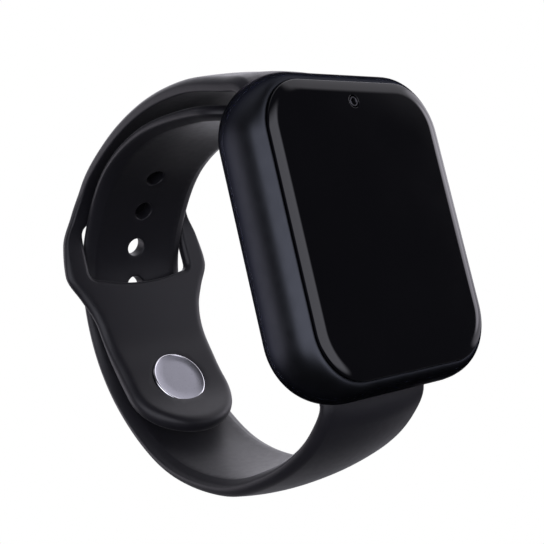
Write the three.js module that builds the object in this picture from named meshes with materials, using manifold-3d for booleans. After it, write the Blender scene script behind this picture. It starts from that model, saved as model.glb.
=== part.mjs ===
// Smartwatch on a stud-and-tuck silicone band, worn closed. Millimetres, +Z up.
// X runs across the case (+X is the side with the key), -Y is the way the glass faces and
// +Z is 12 o'clock. The origin is the centre of the back cover's flat outer face.

import * as THREE from 'three';
import { mergeVertices } from 'three/addons/utils/BufferGeometryUtils.js';
import Module from 'manifold-3d';

const wasm = await Module();
wasm.setup();

// ---------------------------------------------------------------- driving dimensions

const CASE_WIDTH = 38;
const CASE_HEIGHT = 46;
const CORNER_RADIUS = 9.6;
const CORNER_STEPS = 6;

const FRONT_Y = -11.4; // flat face of the glass
const RIM_Y = FRONT_Y + 0.8; // front edge of the case, round the glass
const WIDEST_Y = FRONT_Y + 5.4; // where the case bulges furthest
const CASE_BACK_Y = -0.3; // rear edge of the case
const FRONT_INSET = 2.1; // how far the front edge lies inside the widest outline
const BACK_INSET = 3.2; // the same for the rear edge
const CURVE_STEPS = 5;

const GLASS_THICKNESS = 1.2;
const GLASS_GAP = 0.2; // groove between glass and case
const GLASS_CURVE = 1.1; // width of the curved edge of the glass
const LEDGE_Y = FRONT_Y + 1.5; // shelf in the case that the glass is glued to
const LEDGE_WIDTH = 1.9;
const FRONT_BAY = { width: 29.6, height: 37.6, radius: 6, back: -5 };
const REAR_BAY = { width: 28.8, height: 33.2, radius: 5 };

const COVER = { width: 29.4, height: 34.4, radius: 5.3, thickness: 0.9 };
const COVER_GAP = 0.2;

const SEAT_HALF_WIDTH = 11.7; // band seat cut into each end of the case
const SEAT_FRONT_Y = -4.3;
const SEAT_Z = 18.5;
const BAR_Y = -1.75; // spring bar axis
const BAR_Z = 20.4;
const BAR_RADIUS = 0.75;
const TIP_RADIUS = 0.4;
const TIP_TRAVEL = 1.2;
const TIP_REACH = 12.9; // half the length over both tips
const KNUCKLE_RADIUS = 1.5;

const BAND_THICKNESS = 2.1; // short piece
const LONG_THICKNESS = 2.3; // long piece
const BAND_CROWN = 1.2; // how far the outer face of either piece rises near the case
const FLAP_PAD = 0.9; // extra thickness of the flap round the stud, on its inner side
const LONG_HALF_WIDTH = 10.4;
const LONG_END_HALF_WIDTH = 10.5; // at the case
const SHORT_END_HALF_WIDTH = 11.3; // at the case
const SPLIT_Z = 10; // the clasp flap bends here, halfway down the slot
const SPLIT_GAP = 0.5;
const FLAP_END_RADIUS = 10.2;
const HOLE_RADIUS = 1.7;
const HOLE_PITCH = 7.4;
const HOLE_COUNT = 7;

const STUD_FROM_TIP = 11.3; // stud centre, measured along the flap from its round end
const STUD_RADIUS = 4.95;
const STUD_THICKNESS = 1.1;
const STUD_PROUD = 0.35; // how far the disc stands off the flap
const POST_RADIUS = 0.7;
const POST_HEAD = { radius: 0.84, height: 0.95 };

const KEY = { y: WIDEST_Y, z: 4, length: 9, width: 2.2, proud: 0.5 };
const KEY_SIDE_X = CASE_WIDTH / 2;
const FIT_GAP = 0.3; // clearance left between pieces that touch on the real object
const CLOSE_GAP = 0.15; // clearance of a pin or plunger in its hole
const SEAM = 0.05; // gap between glued or soldered pieces
const BEYOND = 2; // how far cutting tools run past the surface they open

// ---------------------------------------------------------------- materials

function material(color, roughness, metalness) {
  return new THREE.MeshStandardMaterial({ color, roughness, metalness });
}

const finish = {
  caseMetal: material(0x24262b, 0.38, 0.7),
  glass: material(0x060608, 0.05, 0),
  silicone: material(0x1d1d20, 0.6, 0),
  steel: material(0xb4b4bd, 0.3, 1),
  spring: material(0x9a9ca2, 0.35, 1),
  cover: material(0x1b1c1f, 0.5, 0.1),
  gasket: material(0x101012, 0.8, 0),
  board: material(0x123a24, 0.6, 0),
  chip: material(0x151517, 0.5, 0),
  shield: material(0xc2c4c8, 0.35, 0.9),
  battery: material(0x3c4046, 0.5, 0.2),
  gold: material(0xd2a24c, 0.3, 1),
};

const watch = new THREE.Group();

function addPart(name, geometry, partMaterial, parent = watch) {
  const mesh = new THREE.Mesh(geometry, partMaterial);
  mesh.name = name;
  parent.add(mesh);
  return mesh;
}

// ---------------------------------------------------------------- solids

function toSolid(geometry) {
  const bare = geometry.clone();
  bare.deleteAttribute('normal');
  bare.deleteAttribute('uv');
  const merged = mergeVertices(bare, 1e-4);
  return new wasm.Manifold(new wasm.Mesh({
    numProp: 3,
    vertProperties: new Float32Array(merged.attributes.position.array),
    triVerts: new Uint32Array(merged.index.array),
  }));
}

function toGeometry(solid) {
  const mesh = solid.getMesh();
  const geometry = new THREE.BufferGeometry();
  geometry.setAttribute('position', new THREE.BufferAttribute(mesh.vertProperties, 3));
  geometry.setIndex(new THREE.BufferAttribute(mesh.triVerts, 1));
  geometry.computeVertexNormals();
  return geometry;
}

function cut(geometry, ...tools) {
  const solid = tools.reduce((rest, tool) => rest.subtract(toSolid(tool)), toSolid(geometry));
  return toGeometry(solid);
}

function join(...geometries) {
  const [first, ...others] = geometries.map(toSolid);
  return toGeometry(others.reduce((sum, solid) => sum.add(solid), first));
}

function common(geometry, tool) {
  return toGeometry(toSolid(geometry).intersect(toSolid(tool)));
}

// A box given by its lowest and highest corners.
function box(low, high) {
  const size = high.map((value, axis) => value - low[axis]);
  const middle = high.map((value, axis) => (value + low[axis]) / 2);
  return new THREE.BoxGeometry(...size).translate(...middle);
}

// A round rod along +Y, from yStart to yEnd.
function rodAlongY(radius, yStart, yEnd, x = 0, z = 0, sides = 12) {
  const rod = new THREE.CylinderGeometry(radius, radius, yEnd - yStart, sides);
  return rod.translate(x, (yStart + yEnd) / 2, z);
}

// A round rod along +X, from xStart to xEnd.
function rodAlongX(radius, xStart, xEnd, y, z, sides = 12) {
  const rod = new THREE.CylinderGeometry(radius, radius, xEnd - xStart, sides);
  return rod.rotateZ(Math.PI / 2).translate((xStart + xEnd) / 2, y, z);
}

// A turned piece round the Y axis; its profile is a list of [radius, y].
function lathe(profile, sides) {
  const points = profile.map(([radius, y]) => new THREE.Vector2(radius, y));
  return new THREE.LatheGeometry(points, sides);
}

// A rounded rectangle in the XZ plane, as points [x, z].
function roundedOutline(width, height, radius, steps = CORNER_STEPS) {
  const points = [];
  const corners = [[1, 1], [-1, 1], [-1, -1], [1, -1]];
  corners.forEach(([signX, signZ], quarter) => {
    for (let step = 0; step <= steps; step += 1) {
      const angle = (quarter + step / steps) * Math.PI / 2;
      const x = signX * (width / 2 - radius) + radius * Math.cos(angle);
      const z = signZ * (height / 2 - radius) + radius * Math.sin(angle);
      points.push([x, z]);
    }
  });
  return points;
}

// A flat plate with the outline of a shape in the XZ plane.
function plateFromShape(shape, yStart, yEnd) {
  const plate = new THREE.ExtrudeGeometry(shape, {
    depth: yEnd - yStart, bevelEnabled: false, curveSegments: 10,
  });
  return plate.rotateX(Math.PI / 2).translate(0, yEnd, 0);
}

function roundedPlate({ width, height, radius }, yStart, yEnd, grow = 0) {
  const outline = roundedOutline(width + 2 * grow, height + 2 * grow, radius + grow);
  const shape = new THREE.Shape(outline.map(([x, z]) => new THREE.Vector2(x, z)));
  return plateFromShape(shape, yStart, yEnd);
}

// A closed skin over rings of points, all with the same number of points.
function loft(rings) {
  const count = rings[0].length;
  const positions = rings.flat(2);
  const triangles = [];
  for (let ring = 0; ring < rings.length - 1; ring += 1) {
    for (let point = 0; point < count; point += 1) {
      const next = (point + 1) % count;
      const here = ring * count;
      triangles.push(here + point, here + next, here + count + next);
      triangles.push(here + point, here + count + next, here + count + point);
    }
  }
  const last = (rings.length - 1) * count;
  for (let point = 1; point < count - 1; point += 1) {
    triangles.push(0, point + 1, point);
    triangles.push(last, last + point, last + point + 1);
  }
  const geometry = new THREE.BufferGeometry();
  geometry.setAttribute('position', new THREE.Float32BufferAttribute(positions, 3));
  geometry.setIndex(triangles);
  return turnedOutwards(geometry);
}

// Turns the faces over where they point in.
function turnedOutwards(geometry) {
  const index = geometry.index.array;
  const [a, b, c] = [new THREE.Vector3(), new THREE.Vector3(), new THREE.Vector3()];
  let volume = 0;
  for (let corner = 0; corner < index.length; corner += 3) {
    a.fromBufferAttribute(geometry.attributes.position, index[corner]);
    b.fromBufferAttribute(geometry.attributes.position, index[corner + 1]);
    c.fromBufferAttribute(geometry.attributes.position, index[corner + 2]);
    volume += a.dot(b.cross(c));
  }
  if (volume < 0) {
    geometry.setIndex(Array.from(index).reverse());
  }
  geometry.computeVertexNormals();
  return geometry;
}

// A coil spring of square wire, wound along +Y from the origin.
function coilSpring(radius, wire, length, turns) {
  const stepsPerTurn = 8;
  const helix = new THREE.Curve();
  helix.getPoint = (t, target = new THREE.Vector3()) => {
    const angle = t * turns * 2 * Math.PI;
    return target.set(radius * Math.cos(angle), t * length, radius * Math.sin(angle));
  };
  const half = wire / 2;
  const section = new THREE.Shape([
    new THREE.Vector2(-half, -half),
    new THREE.Vector2(half, -half),
    new THREE.Vector2(half, half),
    new THREE.Vector2(-half, half),
  ]);
  return new THREE.ExtrudeGeometry(section, { steps: turns * stepsPerTurn, extrudePath: helix });
}

// ---------------------------------------------------------------- case

// How far the case's outer surface lies inside its widest outline, at a depth y.
function caseInset(y) {
  if (y < WIDEST_Y) {
    const rise = (WIDEST_Y - y) / (WIDEST_Y - RIM_Y);
    return FRONT_INSET * (1 - Math.sqrt(1 - rise * rise));
  }
  const fall = (y - WIDEST_Y) / (CASE_BACK_Y - WIDEST_Y);
  return BACK_INSET * (1 - Math.sqrt(1 - fall * fall));
}

function caseRing(y, inset) {
  const width = CASE_WIDTH - 2 * inset;
  const height = CASE_HEIGHT - 2 * inset;
  return roundedOutline(width, height, CORNER_RADIUS - inset).map(([x, z]) => [x, y, z]);
}

function caseBlank() {
  const depths = [];
  for (let step = 0; step < CURVE_STEPS; step += 1) {
    const angle = (1 - step / CURVE_STEPS) * Math.PI / 2;
    depths.push(WIDEST_Y - (WIDEST_Y - RIM_Y) * Math.sin(angle));
  }
  for (let step = 0; step <= CURVE_STEPS; step += 1) {
    const angle = step / CURVE_STEPS * Math.PI / 2;
    depths.push(WIDEST_Y + (CASE_BACK_Y - WIDEST_Y) * Math.sin(angle));
  }
  return loft(depths.map((y) => caseRing(y, caseInset(y))));
}

function glassOutline(inset) {
  const total = FRONT_INSET + GLASS_GAP + inset;
  return {
    width: CASE_WIDTH - 2 * total,
    height: CASE_HEIGHT - 2 * total,
    radius: CORNER_RADIUS - total,
  };
}

const SCREW_PLACES = [[-9.5, -17.4], [9.5, -17.4], [-9.5, 17.4], [9.5, 17.4]];
const SCREW_HOLE = { radius: 0.65, depth: 1.2 };
const KEY_STEM_RADIUS = 0.6;
const KEY_POCKET_DEPTH = 1.8;
const KEY_POCKET_X = KEY_SIDE_X - KEY_POCKET_DEPTH;
const KEY_SPRING_BORE = { radius: 1.25, x: KEY_POCKET_X - 1.8 };
const FRONT_BAY_SIDE_X = FRONT_BAY.width / 2;

// The key's outline has round ends; the short flat left between them keeps its points apart.
function keyOutline(grow) {
  const endFlat = 0.02;
  const radius = KEY.width / 2 + grow - endFlat / 2;
  const outline = roundedOutline(KEY.width + 2 * grow, KEY.length + 2 * grow, radius, 5);
  return new THREE.Shape(outline.map(([y, z]) => new THREE.Vector2(y, z)));
}

// The key's rounded bar, along X from xStart to xEnd.
function keyBar(grow, xStart, xEnd) {
  const bar = new THREE.ExtrudeGeometry(keyOutline(grow), {
    depth: xEnd - xStart, bevelEnabled: false,
  });
  return bar.rotateX(Math.PI / 2).rotateZ(Math.PI / 2).translate(xStart, KEY.y, KEY.z);
}

function makeCaseBody() {
  const blank = caseBlank();
  const glassSeat = roundedPlate(glassOutline(-GLASS_GAP / 2), RIM_Y - BEYOND, LEDGE_Y);
  const frontBay = roundedPlate(FRONT_BAY, LEDGE_Y - BEYOND, FRONT_BAY.back);
  const rearBay = roundedPlate(REAR_BAY, FRONT_BAY.back - BEYOND, BEYOND);
  const coverSeat = roundedPlate(COVER, -COVER.thickness - FIT_GAP, BEYOND, COVER_GAP);
  const tools = [glassSeat, frontBay, rearBay, coverSeat];
  for (const end of [-1, 1]) {
    const near = end * SEAT_Z;
    const far = end * (CASE_HEIGHT / 2 + BEYOND);
    tools.push(box(
      [-SEAT_HALF_WIDTH, SEAT_FRONT_Y, Math.min(near, far)],
      [SEAT_HALF_WIDTH, BEYOND, Math.max(near, far)],
    ));
    const holeEnd = TIP_REACH + CLOSE_GAP;
    tools.push(rodAlongX(TIP_RADIUS + CLOSE_GAP, -holeEnd, holeEnd, BAR_Y, end * BAR_Z));
  }
  for (const [x, z] of SCREW_PLACES) {
    const start = FRONT_BAY.back - BEYOND;
    tools.push(rodAlongY(SCREW_HOLE.radius, start, FRONT_BAY.back + SCREW_HOLE.depth, x, z));
  }
  tools.push(keyBar(COVER_GAP, KEY_POCKET_X, KEY_SIDE_X + BEYOND));
  tools.push(rodAlongX(
    KEY_SPRING_BORE.radius, KEY_SPRING_BORE.x, KEY_SIDE_X, KEY.y, KEY.z,
  ));
  tools.push(rodAlongX(
    KEY_STEM_RADIUS + CLOSE_GAP, FRONT_BAY_SIDE_X - BEYOND, KEY_SIDE_X, KEY.y, KEY.z,
  ));
  return cut(blank, ...tools);
}

addPart('case_body', makeCaseBody(), finish.caseMetal);

// ---------------------------------------------------------------- glass, display and camera

const CAMERA_Z = 17.6;
const CAMERA_RING = { outer: 0.75, inner: 0.5 };
const GLASS_BACK_Y = FRONT_Y + GLASS_THICKNESS;

function ringAtDepth(y, outline) {
  const { width, height, radius } = outline;
  return roundedOutline(width, height, radius).map(([x, z]) => [x, y, z]);
}

function makeGlass() {
  const rings = [ringAtDepth(GLASS_BACK_Y, glassOutline(0))];
  const edgeY = RIM_Y - SEAM;
  const steps = 4;
  for (let step = 0; step <= steps; step += 1) {
    const angle = step / steps * Math.PI / 2;
    const inset = GLASS_CURVE * (1 - Math.cos(angle));
    rings.push(ringAtDepth(edgeY + (FRONT_Y - edgeY) * Math.sin(angle), glassOutline(inset)));
  }
  const cameraHole = rodAlongY(
    CAMERA_RING.outer + COVER_GAP, FRONT_Y - 1, GLASS_BACK_Y + 1, 0, CAMERA_Z, 16,
  );
  return cut(loft(rings), cameraHole);
}

addPart('front_glass', makeGlass(), finish.glass);

const GASKET_Y = [GLASS_BACK_Y + SEAM, LEDGE_Y - SEAM];

addPart('glass_gasket', cut(
  roundedPlate(glassOutline(0.1), ...GASKET_Y),
  roundedPlate(glassOutline(LEDGE_WIDTH), GASKET_Y[0] - 1, GASKET_Y[1] + 1),
), finish.gasket);

addPart('camera_ring', cut(
  rodAlongY(CAMERA_RING.outer, FRONT_Y + SEAM, GLASS_BACK_Y, 0, CAMERA_Z, 16),
  rodAlongY(CAMERA_RING.inner, FRONT_Y - 1, GLASS_BACK_Y + 1, 0, CAMERA_Z, 16),
), finish.spring);

const CAMERA_HOUSING = {
  low: [-2.6, GLASS_BACK_Y + 0.2, CAMERA_Z - 2.2],
  high: [2.6, GLASS_BACK_Y + 3.4, CAMERA_Z + 0.9],
};
const LENS = { radius: 0.4, front: FRONT_Y + 0.6, back: GLASS_BACK_Y + 0.4 };

addPart('camera_module', join(
  box(CAMERA_HOUSING.low, CAMERA_HOUSING.high),
  rodAlongY(LENS.radius, LENS.front, LENS.back, 0, CAMERA_Z, 12),
), finish.chip);

const DISPLAY = { low: [-13.2, GLASS_BACK_Y + 0.1, -16.4], high: [13.2, -8.6, 14.4] };
addPart('display_panel', box(DISPLAY.low, DISPLAY.high), finish.glass);

// ---------------------------------------------------------------- insides

const BOARD = { halfWidth: 13.2, low: -16.4, high: 14, front: -8.3, back: -7.6 };
const PLATE = { front: -5.95, back: -5.1, gap: 0.3 };
const PACK_FRONT_Y = -4.9; // front of the pieces behind the plate
const SWITCH_NOTCH = { start: 11.2, end: 16, low: 0.5, high: 7.5 };
const CABLE_SLOT = { halfWidth: 4, low: -16.2, high: -14.6 };

function switchNotch({ front, back }) {
  const { start, end, low, high } = SWITCH_NOTCH;
  return box([start, front - 1, low], [end, back + 1, high]);
}

function makeMainBoard() {
  const { halfWidth, low, high, front, back } = BOARD;
  return cut(box([-halfWidth, front, low], [halfWidth, back, high]), switchNotch(BOARD));
}

function makeMidFrame() {
  const plate = roundedPlate(FRONT_BAY, PLATE.front, PLATE.back, -PLATE.gap);
  const through = [PLATE.front - 1, PLATE.back + 1];
  const holes = SCREW_PLACES.map(([x, z]) => rodAlongY(SCREW_HOLE.radius, ...through, x, z));
  const { halfWidth, low, high } = CABLE_SLOT;
  const cableSlot = box([-halfWidth, through[0], low], [halfWidth, through[1], high]);
  return cut(plate, switchNotch(PLATE), cableSlot, ...holes);
}

addPart('main_board', makeMainBoard(), finish.board);
addPart('mid_frame', makeMidFrame(), finish.shield);

// Pieces on the back of the board: centre x and z, width, height, thickness.
const CHIPS = {
  processor: [-6, -6, 8, 8, 1],
  memory_chip: [-6, 5, 7, 6, 0.9],
  radio_shield: [5, -7, 10, 12, 1.4],
  microphone: [9, 11, 3, 2.4, 1],
  display_connector: [0, -15.4, 7, 1.6, 0.9],
};

for (const [name, [x, z, width, height, thickness]] of Object.entries(CHIPS)) {
  const chipMaterial = name === 'radio_shield' ? finish.shield : finish.chip;
  const chip = addPart(name, new THREE.BoxGeometry(width, thickness, height), chipMaterial);
  chip.position.set(x, BOARD.back + SEAM + thickness / 2, z);
}

// Boxes behind the plate: lowest and highest x and z, and the depth of the back.
const REAR_BOXES = {
  battery: { low: [-13.2, -14.6], high: [8.2, 4], back: -1.5, material: finish.battery },
  sim_holder: { low: [-13, 4.8], high: [2.2, 14.6], back: -3.4, material: finish.shield },
  loudspeaker: { low: [9, -12.5], high: [13.8, -1.5], back: -1.7, material: finish.chip },
};

for (const [name, { low, high, back, material: boxMaterial }] of Object.entries(REAR_BOXES)) {
  addPart(name, box([low[0], PACK_FRONT_Y, low[1]], [high[0], back, high[1]]), boxMaterial);
}

const MOTOR = { radius: 4, length: 2.7, x: 8.3, z: 9.5 };

addPart(
  'vibration_motor',
  new THREE.CylinderGeometry(MOTOR.radius, MOTOR.radius, MOTOR.length, 24),
  finish.shield,
).position.set(MOTOR.x, PACK_FRONT_Y + MOTOR.length / 2 + SEAM, MOTOR.z);

const SCREW = {
  headRadius: 1.05,
  headHeight: 0.45,
  recessRadius: 0.47,
  recessDepth: 0.22,
  shankRadius: 0.45,
  shankLength: PLATE.back - PLATE.front + SCREW_HOLE.depth - SEAM,
};

// A pan-head screw standing along +Y, its head's underside at the origin.
function screwGeometry() {
  const { headRadius, headHeight, recessRadius, recessDepth, shankRadius, shankLength } = SCREW;
  return lathe([
    [0, -headHeight + recessDepth],
    [recessRadius, -headHeight + recessDepth],
    [recessRadius, -headHeight],
    [headRadius * 0.8, -headHeight],
    [headRadius, -headHeight * 0.6],
    [headRadius, 0],
    [shankRadius, 0],
    [shankRadius, shankLength],
    [0, shankLength],
  ], 12);
}

SCREW_PLACES.forEach(([x, z], place) => {
  const screw = addPart(`frame_screw_${place + 1}`, screwGeometry(), finish.steel);
  screw.position.set(x, PLATE.front - SEAM, z);
});

// ---------------------------------------------------------------- side key

const KEY_STEM_END_X = FRONT_BAY_SIDE_X - 0.55;
const KEY_TRAVEL = 0.35;

function makePowerKey() {
  const cap = keyBar(0, KEY_POCKET_X + KEY_TRAVEL + CLOSE_GAP, KEY_SIDE_X + KEY.proud);
  const stem = rodAlongX(KEY_STEM_RADIUS, KEY_STEM_END_X, KEY_SIDE_X, KEY.y, KEY.z);
  return join(cap, stem);
}

addPart('power_key', makePowerKey(), finish.caseMetal);

const KEY_SPRING = { radius: 0.98, wire: 0.18, length: 1.3, turns: 3 };

function makeKeySpring() {
  const { radius, wire, length, turns } = KEY_SPRING;
  const coil = coilSpring(radius, wire, length, turns);
  return coil.rotateZ(-Math.PI / 2).translate(KEY_SPRING_BORE.x + wire, KEY.y, KEY.z);
}

addPart('key_spring', makeKeySpring(), finish.spring);

const SWITCH = {
  depth: 1.6, front: 1.4, back: 0.7, halfLength: 2.2, button: 0.4, buttonRadius: 0.5,
};
const SWITCH_BUTTON_X = KEY_STEM_END_X - KEY_TRAVEL - SEAM;
const SWITCH_BODY_X = SWITCH_BUTTON_X - SWITCH.button;

addPart('key_switch', join(
  box(
    [SWITCH_BODY_X - SWITCH.depth, KEY.y - SWITCH.front, KEY.z - SWITCH.halfLength],
    [SWITCH_BODY_X, KEY.y + SWITCH.back, KEY.z + SWITCH.halfLength],
  ),
  rodAlongX(SWITCH.buttonRadius, SWITCH_BODY_X - SWITCH.button, SWITCH_BUTTON_X, KEY.y, KEY.z),
), finish.chip);

// ---------------------------------------------------------------- back cover

const CONTACT = { radius: 1.1, spacing: 6, z: -11, front: -1.05, back: -0.05 };
const SPEAKER_HOLES = { x: 11.2, z: -7, pitch: 1.6, count: 5, radius: 0.4 };
const NAIL_NOTCH = { halfWidth: 3, depth: 0.45, reach: 0.7 };

function makeBackCover() {
  const plate = roundedPlate(COVER, -COVER.thickness, 0);
  const tools = [];
  for (const side of [-0.5, 0.5]) {
    const x = side * CONTACT.spacing;
    tools.push(rodAlongY(CONTACT.radius + COVER_GAP, -BEYOND, BEYOND, x, CONTACT.z, 16));
  }
  for (let hole = 0; hole < SPEAKER_HOLES.count; hole += 1) {
    const z = SPEAKER_HOLES.z + (hole - (SPEAKER_HOLES.count - 1) / 2) * SPEAKER_HOLES.pitch;
    tools.push(rodAlongY(SPEAKER_HOLES.radius, -BEYOND, BEYOND, SPEAKER_HOLES.x, z, 8));
  }
  const edgeZ = -COVER.height / 2;
  const nailNotch = box(
    [-NAIL_NOTCH.halfWidth, -NAIL_NOTCH.depth, edgeZ - 1],
    [NAIL_NOTCH.halfWidth, 1, edgeZ + NAIL_NOTCH.reach],
  );
  return cut(plate, nailNotch, ...tools);
}

addPart('back_cover', makeBackCover(), finish.cover);

for (const [name, side] of [['charge_contact_left', -1], ['charge_contact_right', 1]]) {
  const x = side * CONTACT.spacing / 2;
  addPart(
    name, rodAlongY(CONTACT.radius, CONTACT.front, CONTACT.back, x, CONTACT.z, 16), finish.gold,
  );
}

// ---------------------------------------------------------------- band

// The mid-lines of the two pieces, as [y, z], each from its spring bar to its free end.
const SHORT_MIDLINE = [
  [BAR_Y, BAR_Z], [-1, 23.4], [3.1, 25.3], [11.6, 28.2], [22.6, 29.2], [34.1, 27.2],
  [44.1, 22.3], [48.1, 16.4], [48.4, 8], [48.1, 0], [47.2, -7.6], [43.6, -16.4], [38.1, -22.7],
];
const LONG_MIDLINE = [
  [BAR_Y, -BAR_Z], [-1.9, -22.9], [1.2, -26.2], [5.8, -28.9], [14, -31.3], [24.6, -31.8],
  [38.3, -26.7], [47.9, -15.6], [51.6, -4], [50.4, 8.6], [44.8, 17.1], [37.2, 23.2],
  [26.1, 25.8], [12.6, 24.2], [3, 21],
];

function midline(points) {
  const places = points.map(([y, z]) => new THREE.Vector3(0, y, z));
  return new THREE.CatmullRomCurve3(places, false, 'centripetal');
}

const shortLine = midline(SHORT_MIDLINE);
const longLine = midline(LONG_MIDLINE);

// Where a mid-line is at a distance from its start, with the way to the outside of the loop.
function placeOn(line, distance, outwardTurn) {
  const along = THREE.MathUtils.clamp(distance / line.getLength(), 0, 1);
  const point = line.getPointAt(along);
  const tangent = line.getTangentAt(along);
  const outward = new THREE.Vector3(0, -outwardTurn * tangent.z, outwardTurn * tangent.y);
  return { point, tangent, outward };
}

function smoothStep(value) {
  const t = THREE.MathUtils.clamp(value, 0, 1);
  return t * t * (3 - 2 * t);
}

const EDGE_ROLL = 1; // width of the rolled edge of the band
const LONG_INNER_ROLL = 1.8; // the same on the inner face of the long piece
const LEAST_FLAT = 0.6; // the face inside the rolls keeps this share of the width
const SIDE_HEIGHT = 0.45; // share of the thickness at which the rolls meet the side

// The band's section, as [x, offset outwards]: a flat inner face, rolled edges, and an outer
// face that rises by the crown at its middle.
function bandSection({ halfWidth, inner, outer, crown, innerRoll }) {
  const innerFlat = Math.max(halfWidth - innerRoll, halfWidth * LEAST_FLAT);
  const outerFlat = Math.max(halfWidth - EDGE_ROLL, halfWidth * LEAST_FLAT);
  const right = [
    [innerFlat, -inner],
    [halfWidth, -inner * SIDE_HEIGHT],
    [halfWidth, outer * SIDE_HEIGHT],
    [outerFlat, outer],
    [halfWidth * 0.5, outer + crown * 0.75],
  ];
  const left = right.map(([x, offset]) => [-x, offset]).reverse();
  return [...right, [0, outer + crown], ...left];
}

const CROWN_START = { from: 1, length: 3.5 };
const SHORT_CROWN_FADE = { from: 8, length: 24 };
const LONG_CROWN_FADE = { from: 20, length: 70 };

// The crown starts just outside the case and fades along the band.
function crownAt(distance, fade) {
  const risen = smoothStep((distance - CROWN_START.from) / CROWN_START.length);
  const faded = smoothStep((distance - fade.from) / fade.length);
  return BAND_CROWN * risen * (1 - faded);
}

function bandSolid(line, outwardTurn, sectionAt, stations) {
  const rings = stations.map((distance) => {
    const { point, outward } = placeOn(line, distance, outwardTurn);
    return bandSection(sectionAt(distance)).map(([x, offset]) => {
      const place = point.clone().addScaledVector(outward, offset);
      return [x, place.y, place.z];
    });
  });
  return loft(rings);
}

function evenStations(start, end, spacing) {
  const count = Math.round((end - start) / spacing);
  return Array.from({ length: count + 1 }, (_, step) => start + (end - start) * step / count);
}

// Half the short piece's width, against the distance from its round end.
const SHORT_WIDTHS = [
  [FLAP_END_RADIUS, FLAP_END_RADIUS], [18.8, 10.5], [23.5, 10.9], [26, 11.5], [29, 12.9],
  [33.5, 15], [39, 14.2], [44, 12.2], [49, 11.2], [61, 11], [91, SHORT_END_HALF_WIDTH],
];

function widthFromTable(table, distance) {
  const next = table.findIndex(([place]) => place >= distance);
  if (next === 0) {
    return table[0][1];
  }
  if (next < 0) {
    return table[table.length - 1][1];
  }
  const [startPlace, startWidth] = table[next - 1];
  const [endPlace, endWidth] = table[next];
  const share = (distance - startPlace) / (endPlace - startPlace);
  return startWidth + (endWidth - startWidth) * share;
}

const shortLength = shortLine.getLength();
const longLength = longLine.getLength();

const LEAST_HALF_WIDTH = 1.5; // where the round end of the flap stops

function shortHalfWidth(distance) {
  const fromTip = shortLength - distance;
  if (fromTip < FLAP_END_RADIUS) {
    const back = FLAP_END_RADIUS - fromTip;
    return Math.sqrt(Math.max(FLAP_END_RADIUS ** 2 - back ** 2, LEAST_HALF_WIDTH ** 2));
  }
  return widthFromTable(SHORT_WIDTHS, fromTip);
}

const PAD_FADE = { from: STUD_FROM_TIP + 3, length: 9 };

// The section of the short piece; the flap is thicker on its inner side, round the stud.
function shortSection(distance) {
  const fromTip = shortLength - distance;
  const pad = FLAP_PAD * (1 - smoothStep((fromTip - PAD_FADE.from) / PAD_FADE.length));
  return {
    halfWidth: shortHalfWidth(distance),
    inner: BAND_THICKNESS / 2 + pad,
    outer: BAND_THICKNESS / 2,
    crown: crownAt(distance, SHORT_CROWN_FADE),
    innerRoll: EDGE_ROLL,
  };
}

const LONG_FLARE = 14; // length over which the long piece widens to meet the case
const LONG_TIP_RADIUS = 8;
const LONG_TIP_CUT = 0.06; // square of the share of the width at which the round tip stops

function longHalfWidth(distance) {
  const fromTip = longLength - distance;
  if (fromTip < LONG_TIP_RADIUS) {
    const back = 1 - fromTip / LONG_TIP_RADIUS;
    return LONG_HALF_WIDTH * Math.sqrt(Math.max(1 - back * back, LONG_TIP_CUT));
  }
  const flare = LONG_END_HALF_WIDTH - LONG_HALF_WIDTH;
  return LONG_HALF_WIDTH + flare * (1 - smoothStep(distance / LONG_FLARE));
}

function longSection(distance) {
  return {
    halfWidth: longHalfWidth(distance),
    inner: LONG_THICKNESS / 2,
    outer: LONG_THICKNESS / 2,
    crown: crownAt(distance, LONG_CROWN_FADE),
    innerRoll: LONG_INNER_ROLL,
  };
}

// The eye at the case end, that the spring bar runs through.
function withBarEye(band, end, reach) {
  const barZ = end * BAR_Z;
  const knuckle = rodAlongX(KNUCKLE_RADIUS, -reach, reach, BAR_Y, barZ);
  const bore = rodAlongX(BAR_RADIUS + 0.1, -reach - 1, reach + 1, BAR_Y, barZ);
  return cut(join(band, knuckle), bore);
}

// The slot that the long piece tucks through: a straight top and a curved bottom edge.
const SLOT = { halfWidth: 10.9, top: 17, bottomCorner: 6.9, bottomCentre: 5.7, corner: 2 };
const SLOT_DEPTHS = [40, 56]; // the cutting tool spans the whole band here

function slotTool() {
  const { halfWidth, top, bottomCorner, bottomCentre, corner } = SLOT;
  const shape = new THREE.Shape();
  shape.moveTo(-halfWidth, bottomCorner);
  shape.quadraticCurveTo(0, 2 * bottomCentre - bottomCorner, halfWidth, bottomCorner);
  shape.lineTo(halfWidth, top - corner);
  shape.quadraticCurveTo(halfWidth, top, halfWidth - corner, top);
  shape.lineTo(-halfWidth + corner, top);
  shape.quadraticCurveTo(-halfWidth, top, -halfWidth, top - corner);
  shape.closePath();
  return plateFromShape(shape, ...SLOT_DEPTHS);
}

const studPlace = placeOn(shortLine, shortLength - STUD_FROM_TIP, 1);
const DISC_FACE = -BAND_THICKNESS / 2 - FLAP_PAD - STUD_PROUD; // measured from the mid-line
const DISC_BACK = DISC_FACE + STUD_THICKNESS;
const THROUGH = 3; // reach of the rods that pierce the band, either way from its mid-line

// Turns a rod along Y so that it points along a direction in the YZ plane, and moves it.
function aimed(geometry, direction, point) {
  const turn = new THREE.Quaternion().setFromUnitVectors(new THREE.Vector3(0, 1, 0), direction);
  return geometry.applyQuaternion(turn).translate(point.x, point.y, point.z);
}

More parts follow.
